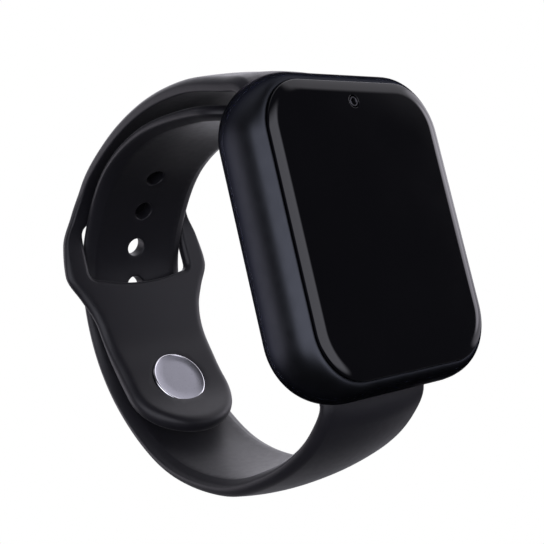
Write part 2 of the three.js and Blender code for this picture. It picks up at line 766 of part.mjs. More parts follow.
function makeShortPiece() {
  const stations = [
    ...evenStations(0, shortLength - FLAP_END_RADIUS, 3.4),
    ...[0.35, 0.6, 0.8, 0.93, 1].map((share) => shortLength - FLAP_END_RADIUS * (1 - share)),
  ];
  const band = bandSolid(shortLine, 1, shortSection, stations);
  const seatFloor = DISC_BACK + FIT_GAP;
  const discSeat = aimed(
    rodAlongY(STUD_RADIUS + FIT_GAP, DISC_FACE - BEYOND, seatFloor, 0, 0, 24),
    studPlace.outward, studPlace.point,
  );
  const postHole = aimed(
    rodAlongY(POST_RADIUS + FIT_GAP, -THROUGH, THROUGH), studPlace.outward, studPlace.point,
  );
  return cut(withBarEye(band, 1, SHORT_END_HALF_WIDTH), slotTool(), discSeat, postHole);
}

const shortPiece = makeShortPiece();
const FAR = 100; // reach of the boxes that part the short piece at the split

addPart('upper_strap', cut(
  shortPiece, box([-FAR, -FAR, -FAR], [FAR, FAR, SPLIT_Z + SPLIT_GAP / 2]),
), finish.silicone);

addPart('clasp_flap', common(
  shortPiece, box([-FAR, -FAR, -FAR], [FAR, FAR, SPLIT_Z - SPLIT_GAP / 2]),
), finish.silicone);

// ---------------------------------------------------------------- long piece

// The distance along the long piece at which it passes nearest to a point.
function nearestDistance(line, target) {
  const length = line.getLength();
  let best = 0;
  let bestGap = Infinity;
  for (const distance of evenStations(0, length * 0.7, 0.1)) {
    const gap = placeOn(line, distance, -1).point.distanceTo(target);
    if (gap < bestGap) {
      best = distance;
      bestGap = gap;
    }
  }
  return best;
}

// The stud points through the long piece here, measured out from the flap's mid-line.
const STUD_HOLE_REACH = 3.6;
const studHolePoint = studPlace.point.clone().addScaledVector(studPlace.outward, STUD_HOLE_REACH);
// The hole sits a little towards the case, so that the head clears it as the flap swings in.
const STUD_HOLE_SHIFT = 0.7;
const studHoleDistance = nearestDistance(longLine, studHolePoint) - STUD_HOLE_SHIFT;

function makeLongPiece() {
  const stations = [
    ...evenStations(0, longLength - LONG_TIP_RADIUS, 3.5),
    ...[0.4, 0.7, 0.9, 1].map((share) => longLength - LONG_TIP_RADIUS * (1 - share)),
  ];
  const band = bandSolid(longLine, -1, longSection, stations);
  const holes = [];
  for (let hole = 0; hole < HOLE_COUNT; hole += 1) {
    const { point, outward } = placeOn(longLine, studHoleDistance + hole * HOLE_PITCH, -1);
    holes.push(aimed(rodAlongY(HOLE_RADIUS, -THROUGH, THROUGH, 0, 0, 14), outward, point));
  }
  return cut(withBarEye(band, -1, LONG_END_HALF_WIDTH), ...holes);
}

addPart('lower_strap', makeLongPiece(), finish.silicone);

// ---------------------------------------------------------------- stud

// Stands along +Y of the group, which points out of the loop; the origin is the flap's mid-line.
const stud = new THREE.Group();
stud.position.copy(studPlace.point);
stud.quaternion.setFromUnitVectors(new THREE.Vector3(0, 1, 0), studPlace.outward);
watch.add(stud);

const DISC_EDGE = 0.3; // chamfer round the disc's face
const HEAD_START = STUD_HOLE_REACH + LONG_THICKNESS / 2 + 0.25; // just outside the long piece

addPart('stud_disc', lathe([
  [0, DISC_FACE],
  [STUD_RADIUS - DISC_EDGE, DISC_FACE],
  [STUD_RADIUS, DISC_FACE + DISC_EDGE],
  [STUD_RADIUS, DISC_BACK],
  [0, DISC_BACK],
], 28), finish.steel, stud);

addPart('stud_post', lathe([
  [0, DISC_BACK + SEAM],
  [POST_RADIUS, DISC_BACK + SEAM],
  [POST_RADIUS, HEAD_START],
  [POST_HEAD.radius, HEAD_START + POST_HEAD.height * 0.2],
  [POST_HEAD.radius, HEAD_START + POST_HEAD.height * 0.5],
  [POST_HEAD.radius * 0.6, HEAD_START + POST_HEAD.height * 0.9],
  [0, HEAD_START + POST_HEAD.height],
], 14), finish.steel, stud);

// ---------------------------------------------------------------- spring bars

const BAR_TUBE_END = SHORT_END_HALF_WIDTH - 0.1;
const TUBE_BORE_RADIUS = 0.5;
const TUBE_BORE_DEPTH = 8;
const TIP_STEM_LENGTH = 3;
const BAR_SPRING = { radius: 0.32, wire: 0.14, turns: 5, start: 0.2, slack: 0.5 };

// One spring bar along +X: a tube with one fixed tip, and a sprung tip at its open end.
function addSpringBar(prefix, end) {
  const bar = new THREE.Group();
  bar.position.set(0, BAR_Y, end * BAR_Z);
  watch.add(bar);
  const tube = cut(
    join(
      rodAlongX(BAR_RADIUS, -BAR_TUBE_END, BAR_TUBE_END, 0, 0),
      rodAlongX(TIP_RADIUS, -TIP_REACH, -BAR_TUBE_END + 1, 0, 0),
    ),
    rodAlongX(TUBE_BORE_RADIUS, BAR_TUBE_END - TUBE_BORE_DEPTH, BAR_TUBE_END + 1, 0, 0),
  );
  addPart(`${prefix}_bar_tube`, tube, finish.steel, bar);
  addPart(
    `${prefix}_bar_tip`,
    rodAlongX(TIP_RADIUS, BAR_TUBE_END - TIP_STEM_LENGTH, TIP_REACH, 0, 0),
    finish.steel, bar,
  );
  const { radius, wire, turns, start, slack } = BAR_SPRING;
  const springLength = TUBE_BORE_DEPTH - TIP_STEM_LENGTH - TIP_TRAVEL - slack;
  const coil = coilSpring(radius, wire, springLength, turns).rotateZ(-Math.PI / 2);
  coil.translate(BAR_TUBE_END - TUBE_BORE_DEPTH + start, 0, 0);
  addPart(`${prefix}_bar_spring`, coil, finish.spring, bar);
}

addSpringBar('upper', 1);
addSpringBar('lower', -1);

export default watch;
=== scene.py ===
import math
from itertools import product

import bmesh
import bpy
import numpy as np
from mathutils import Matrix, Vector
from mathutils.geometry import delaunay_2d_cdt


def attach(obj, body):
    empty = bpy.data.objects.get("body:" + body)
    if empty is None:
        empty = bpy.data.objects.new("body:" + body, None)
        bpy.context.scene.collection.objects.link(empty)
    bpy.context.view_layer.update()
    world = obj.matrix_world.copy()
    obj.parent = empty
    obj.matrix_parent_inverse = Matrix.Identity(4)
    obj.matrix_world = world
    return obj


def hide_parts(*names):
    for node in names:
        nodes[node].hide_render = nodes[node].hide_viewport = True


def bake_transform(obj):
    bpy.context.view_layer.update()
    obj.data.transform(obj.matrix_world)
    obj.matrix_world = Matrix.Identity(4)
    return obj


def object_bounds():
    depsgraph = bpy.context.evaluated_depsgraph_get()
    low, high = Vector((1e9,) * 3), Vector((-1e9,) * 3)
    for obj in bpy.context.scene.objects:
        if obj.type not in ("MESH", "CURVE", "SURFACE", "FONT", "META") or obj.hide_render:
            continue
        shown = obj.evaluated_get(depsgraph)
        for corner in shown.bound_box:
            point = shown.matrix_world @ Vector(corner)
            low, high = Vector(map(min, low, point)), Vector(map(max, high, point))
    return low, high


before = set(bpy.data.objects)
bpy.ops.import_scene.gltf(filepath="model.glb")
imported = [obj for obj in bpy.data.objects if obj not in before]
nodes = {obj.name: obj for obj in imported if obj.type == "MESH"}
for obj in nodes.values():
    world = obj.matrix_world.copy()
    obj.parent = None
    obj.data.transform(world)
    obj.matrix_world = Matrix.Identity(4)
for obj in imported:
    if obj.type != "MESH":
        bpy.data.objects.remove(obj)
cad_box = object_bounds()

# Lengths below are in millimetres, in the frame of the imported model: +X is the key's side,
# -Y is the way the glass faces and +Z is 12 o'clock.
MM = 0.001

# ---------------- dimensions of the model

CASE_WIDTH = 38.0
CASE_HEIGHT = 46.0
CORNER_RADIUS = 9.6
FRONT_Y = -11.4
RIM_Y = -10.6
WIDEST_Y = -6.0
CASE_BACK_Y = -0.3
FRONT_INSET = 2.1
BACK_INSET = 3.2
GLASS_GAP = 0.2
GLASS_ARC = (4.6, 21.7)  # radius and angle of the glass's gently curved edge
GLASS_ROUND = 0.15  # the tighter round between that and its side
GLASS_INSET = FRONT_INSET + GLASS_GAP
GLASS_BACK_Y = -10.2
GLASS_EDGE_Y = -10.65
LEDGE_Y = -9.9
CAMERA_Z = 17.6
CAMERA_HOLE_RADIUS = 0.95
CAMERA_RING = (0.75, 0.5)  # outer and inner radius
FRONT_BAY = (29.6, 37.6, 6.0)
BAY_STEP_Y = -5.0
REAR_BAY = (28.8, 33.2, 5.0)
COVER = (29.4, 34.4, 5.3)
COVER_THICKNESS = 0.9
COVER_GAP = 0.2
COVER_SEAT_Y = -1.2
CONTACT = (3.0, -11.0, 1.1)  # x on one side, z and radius
SPEAKER_HOLES = (11.2, -7.0, 1.6, 5, 0.4)  # x, middle z, pitch, count and radius
NAIL_NOTCH = (0.75, 3.0, 0.12, -17.5)  # radius, half length, y and z

SEAT_HALF_WIDTH = 11.7
SEAT_FRONT_Y = -4.3
SEAT_Z = 18.5
BAR_Y = -1.75
BAR_Z = 20.4
BAR_BORE_RADIUS = 0.85
BAR_BORE_REACH = 13.0
BAR_TIP_BORE = (0.55, 11.2, 13.1)  # radius, and where it starts and ends along X

KEY_Y = -6.0
KEY_Z = 4.0
KEY_LENGTH = 9.0
KEY_WIDTH = 2.2
KEY_POCKET_X = 17.2
KEY_FACE_X = 19.5
KEY_STEM_END_X = 14.25
KEY_POCKET_REACH = (2.3, 2.1, 5.6)  # of the faces it replaces: to the front, back and sides
KEY_POCKET_LIP = (0.12, 0.14)  # width and depth
KEY_BORES = ((1.25, 15.4, 17.9), (0.75, 14.0, 16.0))  # radius, start and end along X
SCREW_BORE = (0.65, -5.6, -3.8)  # radius, start and end along Y
SCREW_X = 9.5
SCREW_Z = 17.4

BAND_HALF = 1.05  # half the short piece's thickness
LONG_HALF = 1.15  # half the long piece's thickness
BAND_CROWN = 1.2
SHORT_END_HALF_WIDTH = 11.3
LONG_HALF_WIDTH = 10.4
LONG_END_HALF_WIDTH = 10.5
END_CORNER = 2.0  # plan radius of the band's corners beside the spring bar
# Edges of the band, as (inner reach, share of the thickness that the reach takes up).
CRISP_EDGE = (0.42, 0.2)
SOFT_EDGE = (1.8, 0.46)
SHOULDER_EDGE = (1.9, 0.44)
SOFTENING = (58, 13)  # where the short piece's edge starts to soften, and over what length
DOWNWARD_FROM = 40.0  # past this distance the short piece runs down behind the wrist
FLAP_PAD = 0.9
FLAP_END_RADIUS = 10.2
LONG_TIP_RADIUS = 8.0
KNUCKLE_RADIUS = 1.5
HOLE_RADIUS = 1.7
HOLE_PITCH = 7.4
HOLE_COUNT = 7
STUD_FROM_TIP = 11.3
STUD_RADIUS = 4.95
STUD_HOLE_REACH = 3.6
STUD_HOLE_SHIFT = 0.7
POST_RADIUS = 0.7

# The slot in the short piece, as heights on its mid-line and half its width.
SLOT_TOP_HALF_WIDTH = 10.45
SLOT_HALF_WIDTH = 10.6
SLOT_TOP_Z = 17.0
SLOT_BOTTOM_CORNER_Z = 6.9
SLOT_BOTTOM_Z = 5.7
SLOT_CORNER = 2.5
SLOT_LOW_CORNER = 1.4

# Mid-lines of the two pieces of the band, as (y, z), from the spring bar to the free end.
SHORT_MIDLINE = [
    (BAR_Y, BAR_Z), (-1, 23.4), (3.1, 25.3), (11.6, 28.2), (22.6, 29.2), (34.1, 27.2),
    (44.1, 22.3), (48.1, 16.4), (48.4, 8), (48.1, 0), (47.2, -7.6), (43.6, -16.4), (38.1, -22.7),
]
LONG_MIDLINE = [
    (BAR_Y, -BAR_Z), (-1.9, -22.9), (1.2, -26.2), (5.8, -28.9), (14, -31.3), (24.6, -31.8),
    (38.3, -26.7), (47.9, -15.6), (51.6, -4), (50.4, 8.6), (44.8, 17.1), (37.2, 23.2),
    (26.1, 25.8), (12.6, 24.2), (3, 21),
]
# Half the short piece's width, against the distance from its round end.
SHORT_WIDTHS = [
    (10.2, 10.2), (18.8, 10.5), (23.5, 10.9), (26, 11.5), (29, 12.9), (33.5, 15), (39, 14.2),
    (44, 12.2), (49, 11.2), (61, 11), (91, 11.3), (101, 11.3),
]


# ---------------- mesh tools


def smooth_step(value, start, length):
    """0 up to the start, then a smooth rise to 1 over the length."""
    t = np.clip((value - start) / length, 0.0, 1.0)
    return t * t * (3 - 2 * t)


def columns(*values):
    """Arrays of coordinates put side by side as points."""
    return np.stack(values, axis=-1)


def circle(radius, count, centre=(0.0, 0.0)):
    angle = np.linspace(0, 2 * math.pi, count, endpoint=False)
    return columns(centre[0] + radius * np.cos(angle), centre[1] + radius * np.sin(angle))


def quarter(centre, size, count):
    """A quarter of an ellipse, from its first half axis to its second."""
    turn = np.linspace(0, math.pi / 2, count)
    return columns(centre[0] + size[0] * np.cos(turn), centre[1] + size[1] * np.sin(turn))


class Skin:
    """Points and faces gathered into one closed skin."""

    def __init__(self):
        self.points = []
        self.faces = []
        self.face_materials = []

    def ring(self, points):
        start = len(self.points)
        self.points.extend(tuple(float(c) for c in p) for p in points)
        return list(range(start, len(self.points)))

    def face(self, indices, material=0):
        self.faces.append(tuple(indices))
        self.face_materials.append(material)

    def join(self, rings, material=0):
        """Joins each ring to the next."""
        for a, b in zip(rings, rings[1:]):
            for corners in zip(a, a[1:] + a[:1], b[1:] + b[:1], b):
                self.face(corners, material)

    def tube(self, shapes, material=0):
        """Adds a ring for each shape, joined to the next one, and returns the rings."""
        rings = [self.ring(shape) for shape in shapes]
        self.join(rings, material)
        return rings

    def fan(self, ring, centre):
        hub = self.ring([centre])[0]
        for here, there in zip(ring, ring[1:] + ring[:1]):
            self.face((hub, here, there))


def add_object(name, data):
    added = bpy.data.objects.new(name, data)
    bpy.context.scene.collection.objects.link(added)
    return added


def build(name, skin, body, materials, replaced):
    """Makes a smooth-shaded object from a skin, with its faces turned outwards."""
    mesh = bpy.data.meshes.new(name)
    mesh.from_pydata([tuple(c * MM for c in p) for p in skin.points], [], skin.faces)
    mesh.polygons.foreach_set("material_index", skin.face_materials)
    work = bmesh.new()
    work.from_mesh(mesh)
    bmesh.ops.remove_doubles(work, verts=work.verts, dist=1e-7)
    bmesh.ops.dissolve_degenerate(work, edges=work.edges, dist=1e-8)
    bmesh.ops.recalc_face_normals(work, faces=work.faces)
    if work.calc_volume(signed=True) < 0:
        bmesh.ops.reverse_faces(work, faces=work.faces)
    for face in work.faces:
        face.smooth = True
    work.to_mesh(mesh)
    work.free()
    piece = add_object(name, mesh)
    for material in materials:
        mesh.materials.append(material)
    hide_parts(*replaced)
    if body:
        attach(piece, body)
    return piece


def apply_modifiers(piece):
    bpy.context.view_layer.update()
    graph = bpy.context.evaluated_depsgraph_get()
    mesh = bpy.data.meshes.new_from_object(piece.evaluated_get(graph))
    piece.modifiers.clear()
    piece.data = mesh


def drill(piece, rods):
    """Cuts round rods out of a piece. A rod is (radius, start point, end point)."""
    work = bmesh.new()
    for radius, start, end in rods:
        start, end = Vector(start) * MM, Vector(end) * MM
        turn = (end - start).to_track_quat("Z", "Y").to_matrix().to_4x4()
        bmesh.ops.create_cone(
            work, cap_ends=True, segments=32, radius1=radius * MM, radius2=radius * MM,
            depth=(end - start).length, matrix=Matrix.Translation((start + end) / 2) @ turn,
        )
    mesh = bpy.data.meshes.new("drill")
    work.to_mesh(mesh)
    work.free()
    tool = add_object("drill", mesh)
    cutter = piece.modifiers.new("drill", "BOOLEAN")
    cutter.operation = "DIFFERENCE"
    cutter.solver = "EXACT"
    cutter.object = tool
    apply_modifiers(piece)
    bpy.data.objects.remove(tool)
    bpy.data.meshes.remove(mesh)


def bevel(piece, width, angle):
    """Rounds the edges of a piece that are sharper than the angle."""
    edge = piece.modifiers.new("edge", "BEVEL")
    edge.width = width * MM
    edge.segments = 2
    edge.limit_method = "ANGLE"
    edge.angle_limit = math.radians(angle)
    return edge


def weigh_normals(piece, weight):
    """Keeps flat faces flat in the light; a higher weight lets large faces count for more."""
    weighted = piece.modifiers.new("normals", "WEIGHTED_NORMAL")
    weighted.weight = weight
    return weighted


def soften(piece, width, angle):
    bevel(piece, width, angle).miter_outer = "MITER_ARC"
    weigh_normals(piece, 60).keep_sharp = True


def inside_polygon(points, polygon):
    """True for each of the 2-D points that lies inside the closed polygon."""
    x, y = points[:, 0][:, None], points[:, 1][:, None]
    ax, ay = polygon.T
    bx, by = np.roll(polygon, -1, axis=0).T
    crosses = (ay > y) != (by > y)
    rise = np.where(by == ay, 1.0, by - ay)
    at = ax + (y - ay) / rise * (bx - ax)
    return (np.sum(crosses & (x < at), axis=1) % 2) == 1


def fill_between(skin, outer, holes, spacing, lift):
    """Fills a flat pattern between an outer loop and hole loops with even triangles.

    A loop is (indices in the skin, their 2-D places); lift(places) gives the 3-D points."""
    loops = (outer, *holes)
    indices = [index for ring, _ in loops for index in ring]
    places = np.vstack([flat for _, flat in loops])
    edges = []
    for ring, _ in loops:
        start, count = len(edges), len(ring)
        edges.extend((start + k, start + (k + 1) % count) for k in range(count))

    def within(points):
        found = inside_polygon(points, outer[1])
        for _, hole in holes:
            found &= ~inside_polygon(points, hole)
        return found

    low, high = outer[1].min(axis=0), outer[1].max(axis=0)
    grid = np.array([
        (row, column)
        for k, row in enumerate(np.arange(low[0], high[0], spacing * 0.87))
        for column in np.arange(low[1] + (k % 2) * spacing / 2, high[1], spacing)
    ])
    grid = grid[within(grid)]
    gap = np.linalg.norm(grid[:, None, :] - places[None, :, :], axis=2).min(axis=1)
    grid = grid[gap > spacing * 0.6]
    indices.extend(skin.ring(lift(grid)))
    flat = [Vector(place) for place in np.vstack([places, grid])]
    made = delaunay_2d_cdt(flat, edges, [], 0, 1e-6)
    corners, triangles = np.array(made[0]), np.array(made[2])
    source = [indices[ids[0]] for ids in made[3]]
    for triangle in triangles[within(corners[triangles].mean(axis=1))]:
        skin.face([source[corner] for corner in triangle])


# ---------------- materials


class Graph:
    """A node tree, with a short way to add its nodes."""

    def __init__(self, tree):
        self.nodes = tree.nodes
        self.links = tree.links

    def fill(self, node, inputs):
        """Links inputs to other nodes' outputs, or sets them to plain values."""
        for name, value in inputs.items():
            if isinstance(value, bpy.types.NodeSocket):
                self.links.new(value, node.inputs[name])
            else:
                node.inputs[name].default_value = value

    def node(self, kind, inputs=(), output=0, **settings):
        """Adds a node and returns one of its outputs, if it has any."""
        node = self.nodes.new(kind)
        for name, value in settings.items():
            setattr(node, name, value)
        self.fill(node, dict(inputs))
        return node.outputs[output] if node.outputs else None


class Finish(Graph):
    """A Principled material whose colour, roughness and bump vary over the surface."""

    def __init__(self, name, metallic=0.0, ior=1.45):
        self.material = bpy.data.materials.new(name)
        self.material.use_nodes = True
        super().__init__(self.material.node_tree)
        self.shader = self.nodes["Principled BSDF"]
        self.set(Metallic=metallic, IOR=ior)
        self.place = self.node("ShaderNodeTexCoord", output="Object")

    def set(self, **inputs):
        self.fill(self.shader, {name.replace("_", " "): value for name, value in inputs.items()})

    def scaled(self, stretch=(1, 1, 1), turn=(0, 0, 0)):
        """The place on the object in millimetres, stretched and turned."""
        return self.node("ShaderNodeMapping", {
            "Vector": self.place, "Scale": [s / MM for s in stretch], "Rotation": turn,
        })

    def noise(self, per_mm, detail=3.0, stretch=(1, 1, 1)):
        """A noise pattern with that many features to the millimetre."""
        return self.node("ShaderNodeTexNoise", {
            "Vector": self.scaled(stretch), "Scale": per_mm, "Detail": detail,
        }, "Fac")

    def ranged(self, value, low, high, start=0.3, end=0.7):
        return self.node("ShaderNodeMapRange", {
            "Value": value, "From Min": start, "From Max": end, "To Min": low, "To Max": high,
        })

    def mixed(self, value, *colours):
        a, b = ((*colour, 1) if isinstance(colour, tuple) else colour for colour in colours)
        return self.node("ShaderNodeMix", {0: value, 6: a, 7: b}, 2, data_type="RGBA")

    def clouded(self, value, colour, low, high):
        """The colour, darkened and lightened by a pattern."""
        return self.mixed(value, shade(colour, low), shade(colour, high))

    def bump(self, *layers):
        """Layers of (height, distance in millimetres, strength)."""
        below = {}
        for height, distance, strength in layers:
            below["Normal"] = self.node("ShaderNodeBump", {
                "Height": height, "Distance": distance * MM, "Strength": strength, **below,
            })
        self.set(**below)


def shade(colour, factor):
    return tuple(channel * factor for channel in colour)


def varied(name, colour, roughness, metallic=0.0, spread=0.15, grain=4.0, depth=0.004, ior=1.45):
    """A plain finish with broad cloudy variation and a fine grain."""
    finish = Finish(name, metallic, ior)
    broad = finish.noise(0.25)
    fine = finish.noise(grain, detail=4.0)
    finish.set(
        Base_Color=finish.clouded(broad, colour, 1 - spread, 1 + spread),
        Roughness=finish.ranged(fine, roughness * 0.88, roughness * 1.12),
    )
    finish.bump((fine, depth, 0.5))
    return finish.material


def silicone_material():
    """Matt near-black rubber with a skin grain, and a little dust where it is handled."""
    colour = (0.0125, 0.0121, 0.0155)
    finish = Finish("silicone", ior=1.43)
    broad = finish.noise(0.18)
    grain = finish.noise(9.0, detail=2.0)
    handling = finish.noise(0.9, detail=5.0)
    dust = finish.ranged(handling, 0.0, 0.35, 0.62, 0.8)
    tone = finish.clouded(broad, colour, 0.88, 1.12)
    finish.set(
        Base_Color=finish.mixed(dust, tone, shade(colour, 1.7)),
        Roughness=finish.ranged(handling, 0.38, 0.45),
        Sheen_Weight=0.12, Sheen_Roughness=0.35,
    )
    finish.bump((grain, 0.006, 0.35), (broad, 0.02, 0.2))
    return finish.material


def case_material():
    """Bead-blasted dark metal, rubbed a little smoother in places."""
    finish = Finish("case_metal", metallic=1.0)
    broad = finish.noise(0.15)
    blast = finish.noise(14.0, detail=2.0)
    rub = finish.noise(0.6, detail=6.0)
    finish.set(
        Base_Color=finish.clouded(broad, (0.050, 0.053, 0.061), 0.92, 1.08),
        Roughness=finish.ranged(rub, 0.32, 0.39), Specular_Tint=(0.14, 0.13, 0.15, 1),
    )
    finish.bump((blast, 0.003, 0.25))
    return finish.material


def glass_material():
    """Black cover glass with a faint smear."""
    finish = Finish("cover_glass", ior=1.5)
    smear = finish.noise(0.12, detail=4.0)
    finish.set(
        Base_Color=finish.mixed(smear, (0.0020, 0.0020, 0.0030), (0.0026, 0.0026, 0.0036)),
        Roughness=finish.ranged(smear, 0.03, 0.07),
    )
    finish.bump((smear, 0.004, 0.1))
    return finish.material


def brushed_steel(name, colour, roughness, stretch, depth):
    finish = Finish(name, metallic=1.0)
    lines = finish.noise(3.0, detail=5.0, stretch=stretch)
    broad = finish.noise(0.3)
    finish.set(
        Base_Color=finish.clouded(broad, colour, 0.93, 1.05),
        Roughness=finish.ranged(lines, roughness * 0.8, roughness * 1.25),
    )
    finish.bump((lines, depth, 0.4))
    return finish.material


def board_material():
    """Green solder mask over raised tracks, laid out in the board's XZ plane."""
    finish = Finish("board", ior=1.5)
    tracks = finish.node("ShaderNodeTexBrick", {
        "Vector": finish.scaled(turn=(math.radians(-90), 0, 0)), "Scale": 1.0,
        "Mortar Size": 0.06, "Brick Width": 2.2, "Row Height": 0.7,
    }, "Fac")
    grain = finish.noise(5.0)
    mask = finish.mixed(grain, (0.010, 0.055, 0.028), (0.014, 0.070, 0.036))
    finish.set(
        Base_Color=finish.mixed(tracks, mask, (0.035, 0.16, 0.085)),
        Roughness=finish.ranged(grain, 0.38, 0.5),
    )
    finish.bump((tracks, 0.02, 0.6))
    return finish.material


def foil_material():
    """The battery's crinkled foil."""
    finish = Finish("battery_foil", metallic=0.85)
    folds = finish.noise(0.5, detail=5.0)
    fine = finish.noise(4.0)
    finish.set(
        Base_Color=finish.mixed(folds, (0.26, 0.27, 0.29), (0.40, 0.41, 0.43)),
        Roughness=finish.ranged(fine, 0.28, 0.42),
    )
    finish.bump((folds, 0.06, 0.6), (fine, 0.01, 0.4))
    return finish.material


silicone = silicone_material()
case_metal = case_material()
cover_glass = glass_material()
stud_face = brushed_steel("stud_steel", (0.40, 0.40, 0.445), 0.33, (1, 6, 1), 0.003)
stud_rim = brushed_steel("stud_rim", (0.86, 0.86, 0.90), 0.12, (1, 1, 1), 0.001)
bar_steel = brushed_steel("bar_steel", (0.55, 0.55, 0.57), 0.25, (0.2, 3, 3), 0.002)
cover_plastic = varied("cover_plastic", (0.020, 0.0205, 0.023), 0.42, grain=6.0, depth=0.008)
gasket = varied("gasket", (0.010, 0.010, 0.011), 0.85, grain=5.0)
board = board_material()
chip = varied("chip", (0.016, 0.016, 0.018), 0.5, grain=8.0, depth=0.006)
shield = varied("shield", (0.60, 0.61, 0.63), 0.32, metallic=1.0, grain=5.0)
battery_foil = foil_material()
gold = varied("gold", (0.80, 0.56, 0.22), 0.25, metallic=1.0, spread=0.08, grain=5.0)
display = varied("display", (0.004, 0.004, 0.006), 0.12, grain=3.0, depth=0.001, ior=1.5)
ring_metal = varied("camera_ring", (0.05, 0.05, 0.056), 0.3, metallic=0.9, grain=8.0)
lens = varied("lens", (0.003, 0.003, 0.005), 0.06, grain=2.0, depth=0.0005, ior=1.6)


# ---------------- rounded rectangles


END_COLUMNS = 25
CORNER_COLUMNS = 20
SIDE_MARKS = sorted({
    *np.linspace(-13.4, -1.4, 13).round(4), *np.linspace(9.4, 13.4, 5).round(4),
    *np.linspace(-1.4, 9.4, 13).round(4),
})


def outline(width, height, radius, sides=SIDE_MARKS, fixed_x=SEAT_HALF_WIDTH):
    """Points (x, z) round a rounded rectangle, anticlockwise from the +X side's lowest mark.

    Every outline has the same number of points, and the same points of each end lie at
    the same x, so that outlines of different sizes can be joined ring to ring."""
    half_x, half_z = width / 2 - radius, height / 2 - radius
    share = np.array(sides) / sides[-1]
    reach = math.acos(min(max((fixed_x - half_x) / radius, 0.0), 1.0))
    end_x = np.linspace(fixed_x, -fixed_x, END_COLUMNS)
    over = np.clip(np.abs(end_x) - half_x, 0, radius)
    end_z = half_z + np.sqrt(radius**2 - over**2)
    turn = np.linspace(0, reach, CORNER_COLUMNS + 2)[1:-1]
    corner_x, corner_z = half_x + radius * np.cos(turn), half_z + radius * np.sin(turn)
    side_z = share * half_z
    side = np.full(len(side_z), half_x + radius)
    xs = [side, corner_x, end_x, -corner_x[::-1], -side, -corner_x, -end_x, corner_x[::-1]]
    zs = [side_z, corner_z, end_z, corner_z[::-1], side_z[::-1], -corner_z, -end_z, -corner_z[::-1]]
    return columns(np.concatenate(xs), np.concatenate(zs))


SIDE_COUNT = len(SIDE_MARKS)
TOP_START = SIDE_COUNT + CORNER_COLUMNS
BOTTOM_START = 2 * SIDE_COUNT + 3 * CORNER_COLUMNS + END_COLUMNS


def at_depth(points, y):
    return columns(points[:, 0], np.full(len(points), y), points[:, 1])


def inset_outline(inset):
    """The case's outline, drawn in by a distance."""
    return outline(CASE_WIDTH - 2 * inset, CASE_HEIGHT - 2 * inset, CORNER_RADIUS - inset)


def inset_ring(inset, y):
    return at_depth(inset_outline(inset), y)


# ---------------- case

RIM_ROWS = 4
FRONT_ROWS = 18
WAIST_ROWS = 5
REAR_ROWS = 14
FIRST_SEAT_ROW = RIM_ROWS + FRONT_ROWS + WAIST_ROWS  # the first that the band seats cut into
SEAT_SPLIT = 6  # rows of the band seat that run along its front face; the rest climb its wall


def case_rows():
    """Rings of the case, from the glass seat over the outside to the back and in again."""
    wall = FRONT_INSET + GLASS_GAP / 2
    rows = [
        at_depth(outline(*FRONT_BAY), LEDGE_Y), inset_ring(wall, LEDGE_Y),
        inset_ring(wall, RIM_Y + 0.08), inset_ring(wall - 0.025, RIM_Y + 0.02),
    ]
    for rise in np.radians(np.linspace(90, 0, FRONT_ROWS, endpoint=False)):
        y = WIDEST_Y + (RIM_Y - WIDEST_Y) * math.sin(rise)
        rows.append(inset_ring(FRONT_INSET * (1 - math.cos(rise)), y))
    depth = CASE_BACK_Y - WIDEST_Y
    seat_angle = math.asin((SEAT_FRONT_Y - WIDEST_Y) / depth)
    waist = np.linspace(0, seat_angle, WAIST_ROWS, endpoint=False)
    rear = np.linspace(seat_angle, math.pi / 2, REAR_ROWS)
    for fall in (*waist, *rear):
        y = WIDEST_Y + depth * math.sin(fall)
        rows.append(inset_ring(BACK_INSET * (1 - math.cos(fall)), y))
    cover_seat = [size + 2 * COVER_GAP for size in COVER[:2]] + [COVER[2] + COVER_GAP]
    inner = at_depth(outline(*cover_seat), CASE_BACK_Y)
    edge = rows[-1]
    share = (edge[TOP_START, 2] - SEAT_Z) / (edge[TOP_START, 2] - inner[TOP_START, 2])
    return rows + [
        edge + (inner - edge) * share,
        inner,
        at_depth(outline(*cover_seat), COVER_SEAT_Y),
        at_depth(outline(*REAR_BAY), COVER_SEAT_Y),
        at_depth(outline(*REAR_BAY), BAY_STEP_Y),
        at_depth(outline(*FRONT_BAY), BAY_STEP_Y),
    ]


def seat_path(start, end_z):
    """The section of a band seat: in along its front face, then back along its wall."""
    x, y, z = start
    inwards = [(x, y, z + (end_z - z) * share) for share in np.linspace(0, 1, SEAT_SPLIT + 1)]
    wall = np.linspace(y, CASE_BACK_Y, REAR_ROWS + 1 - SEAT_SPLIT)[1:]
    return inwards + [(x, wall_y, end_z) for wall_y in wall]


STADIUM_SHARE = 0.86  # spreads a bar's points evenly over its sides and its round ends


def stadium(length, width, y, z, around):
    """Points of a bar with round ends in the YZ plane, one for each point of a loop round it."""
    half, radius = (length - width) / 2, width / 2
    share = STADIUM_SHARE * length / (length + 1.4)
    points = []
    for py, pz in around:
        middle = max(-half, min(half, (pz - z) * share))
        way = Vector((py - y, pz - z - middle)).normalized()
        points.append((y + radius * way.x, z + middle + radius * way.y))
    return points


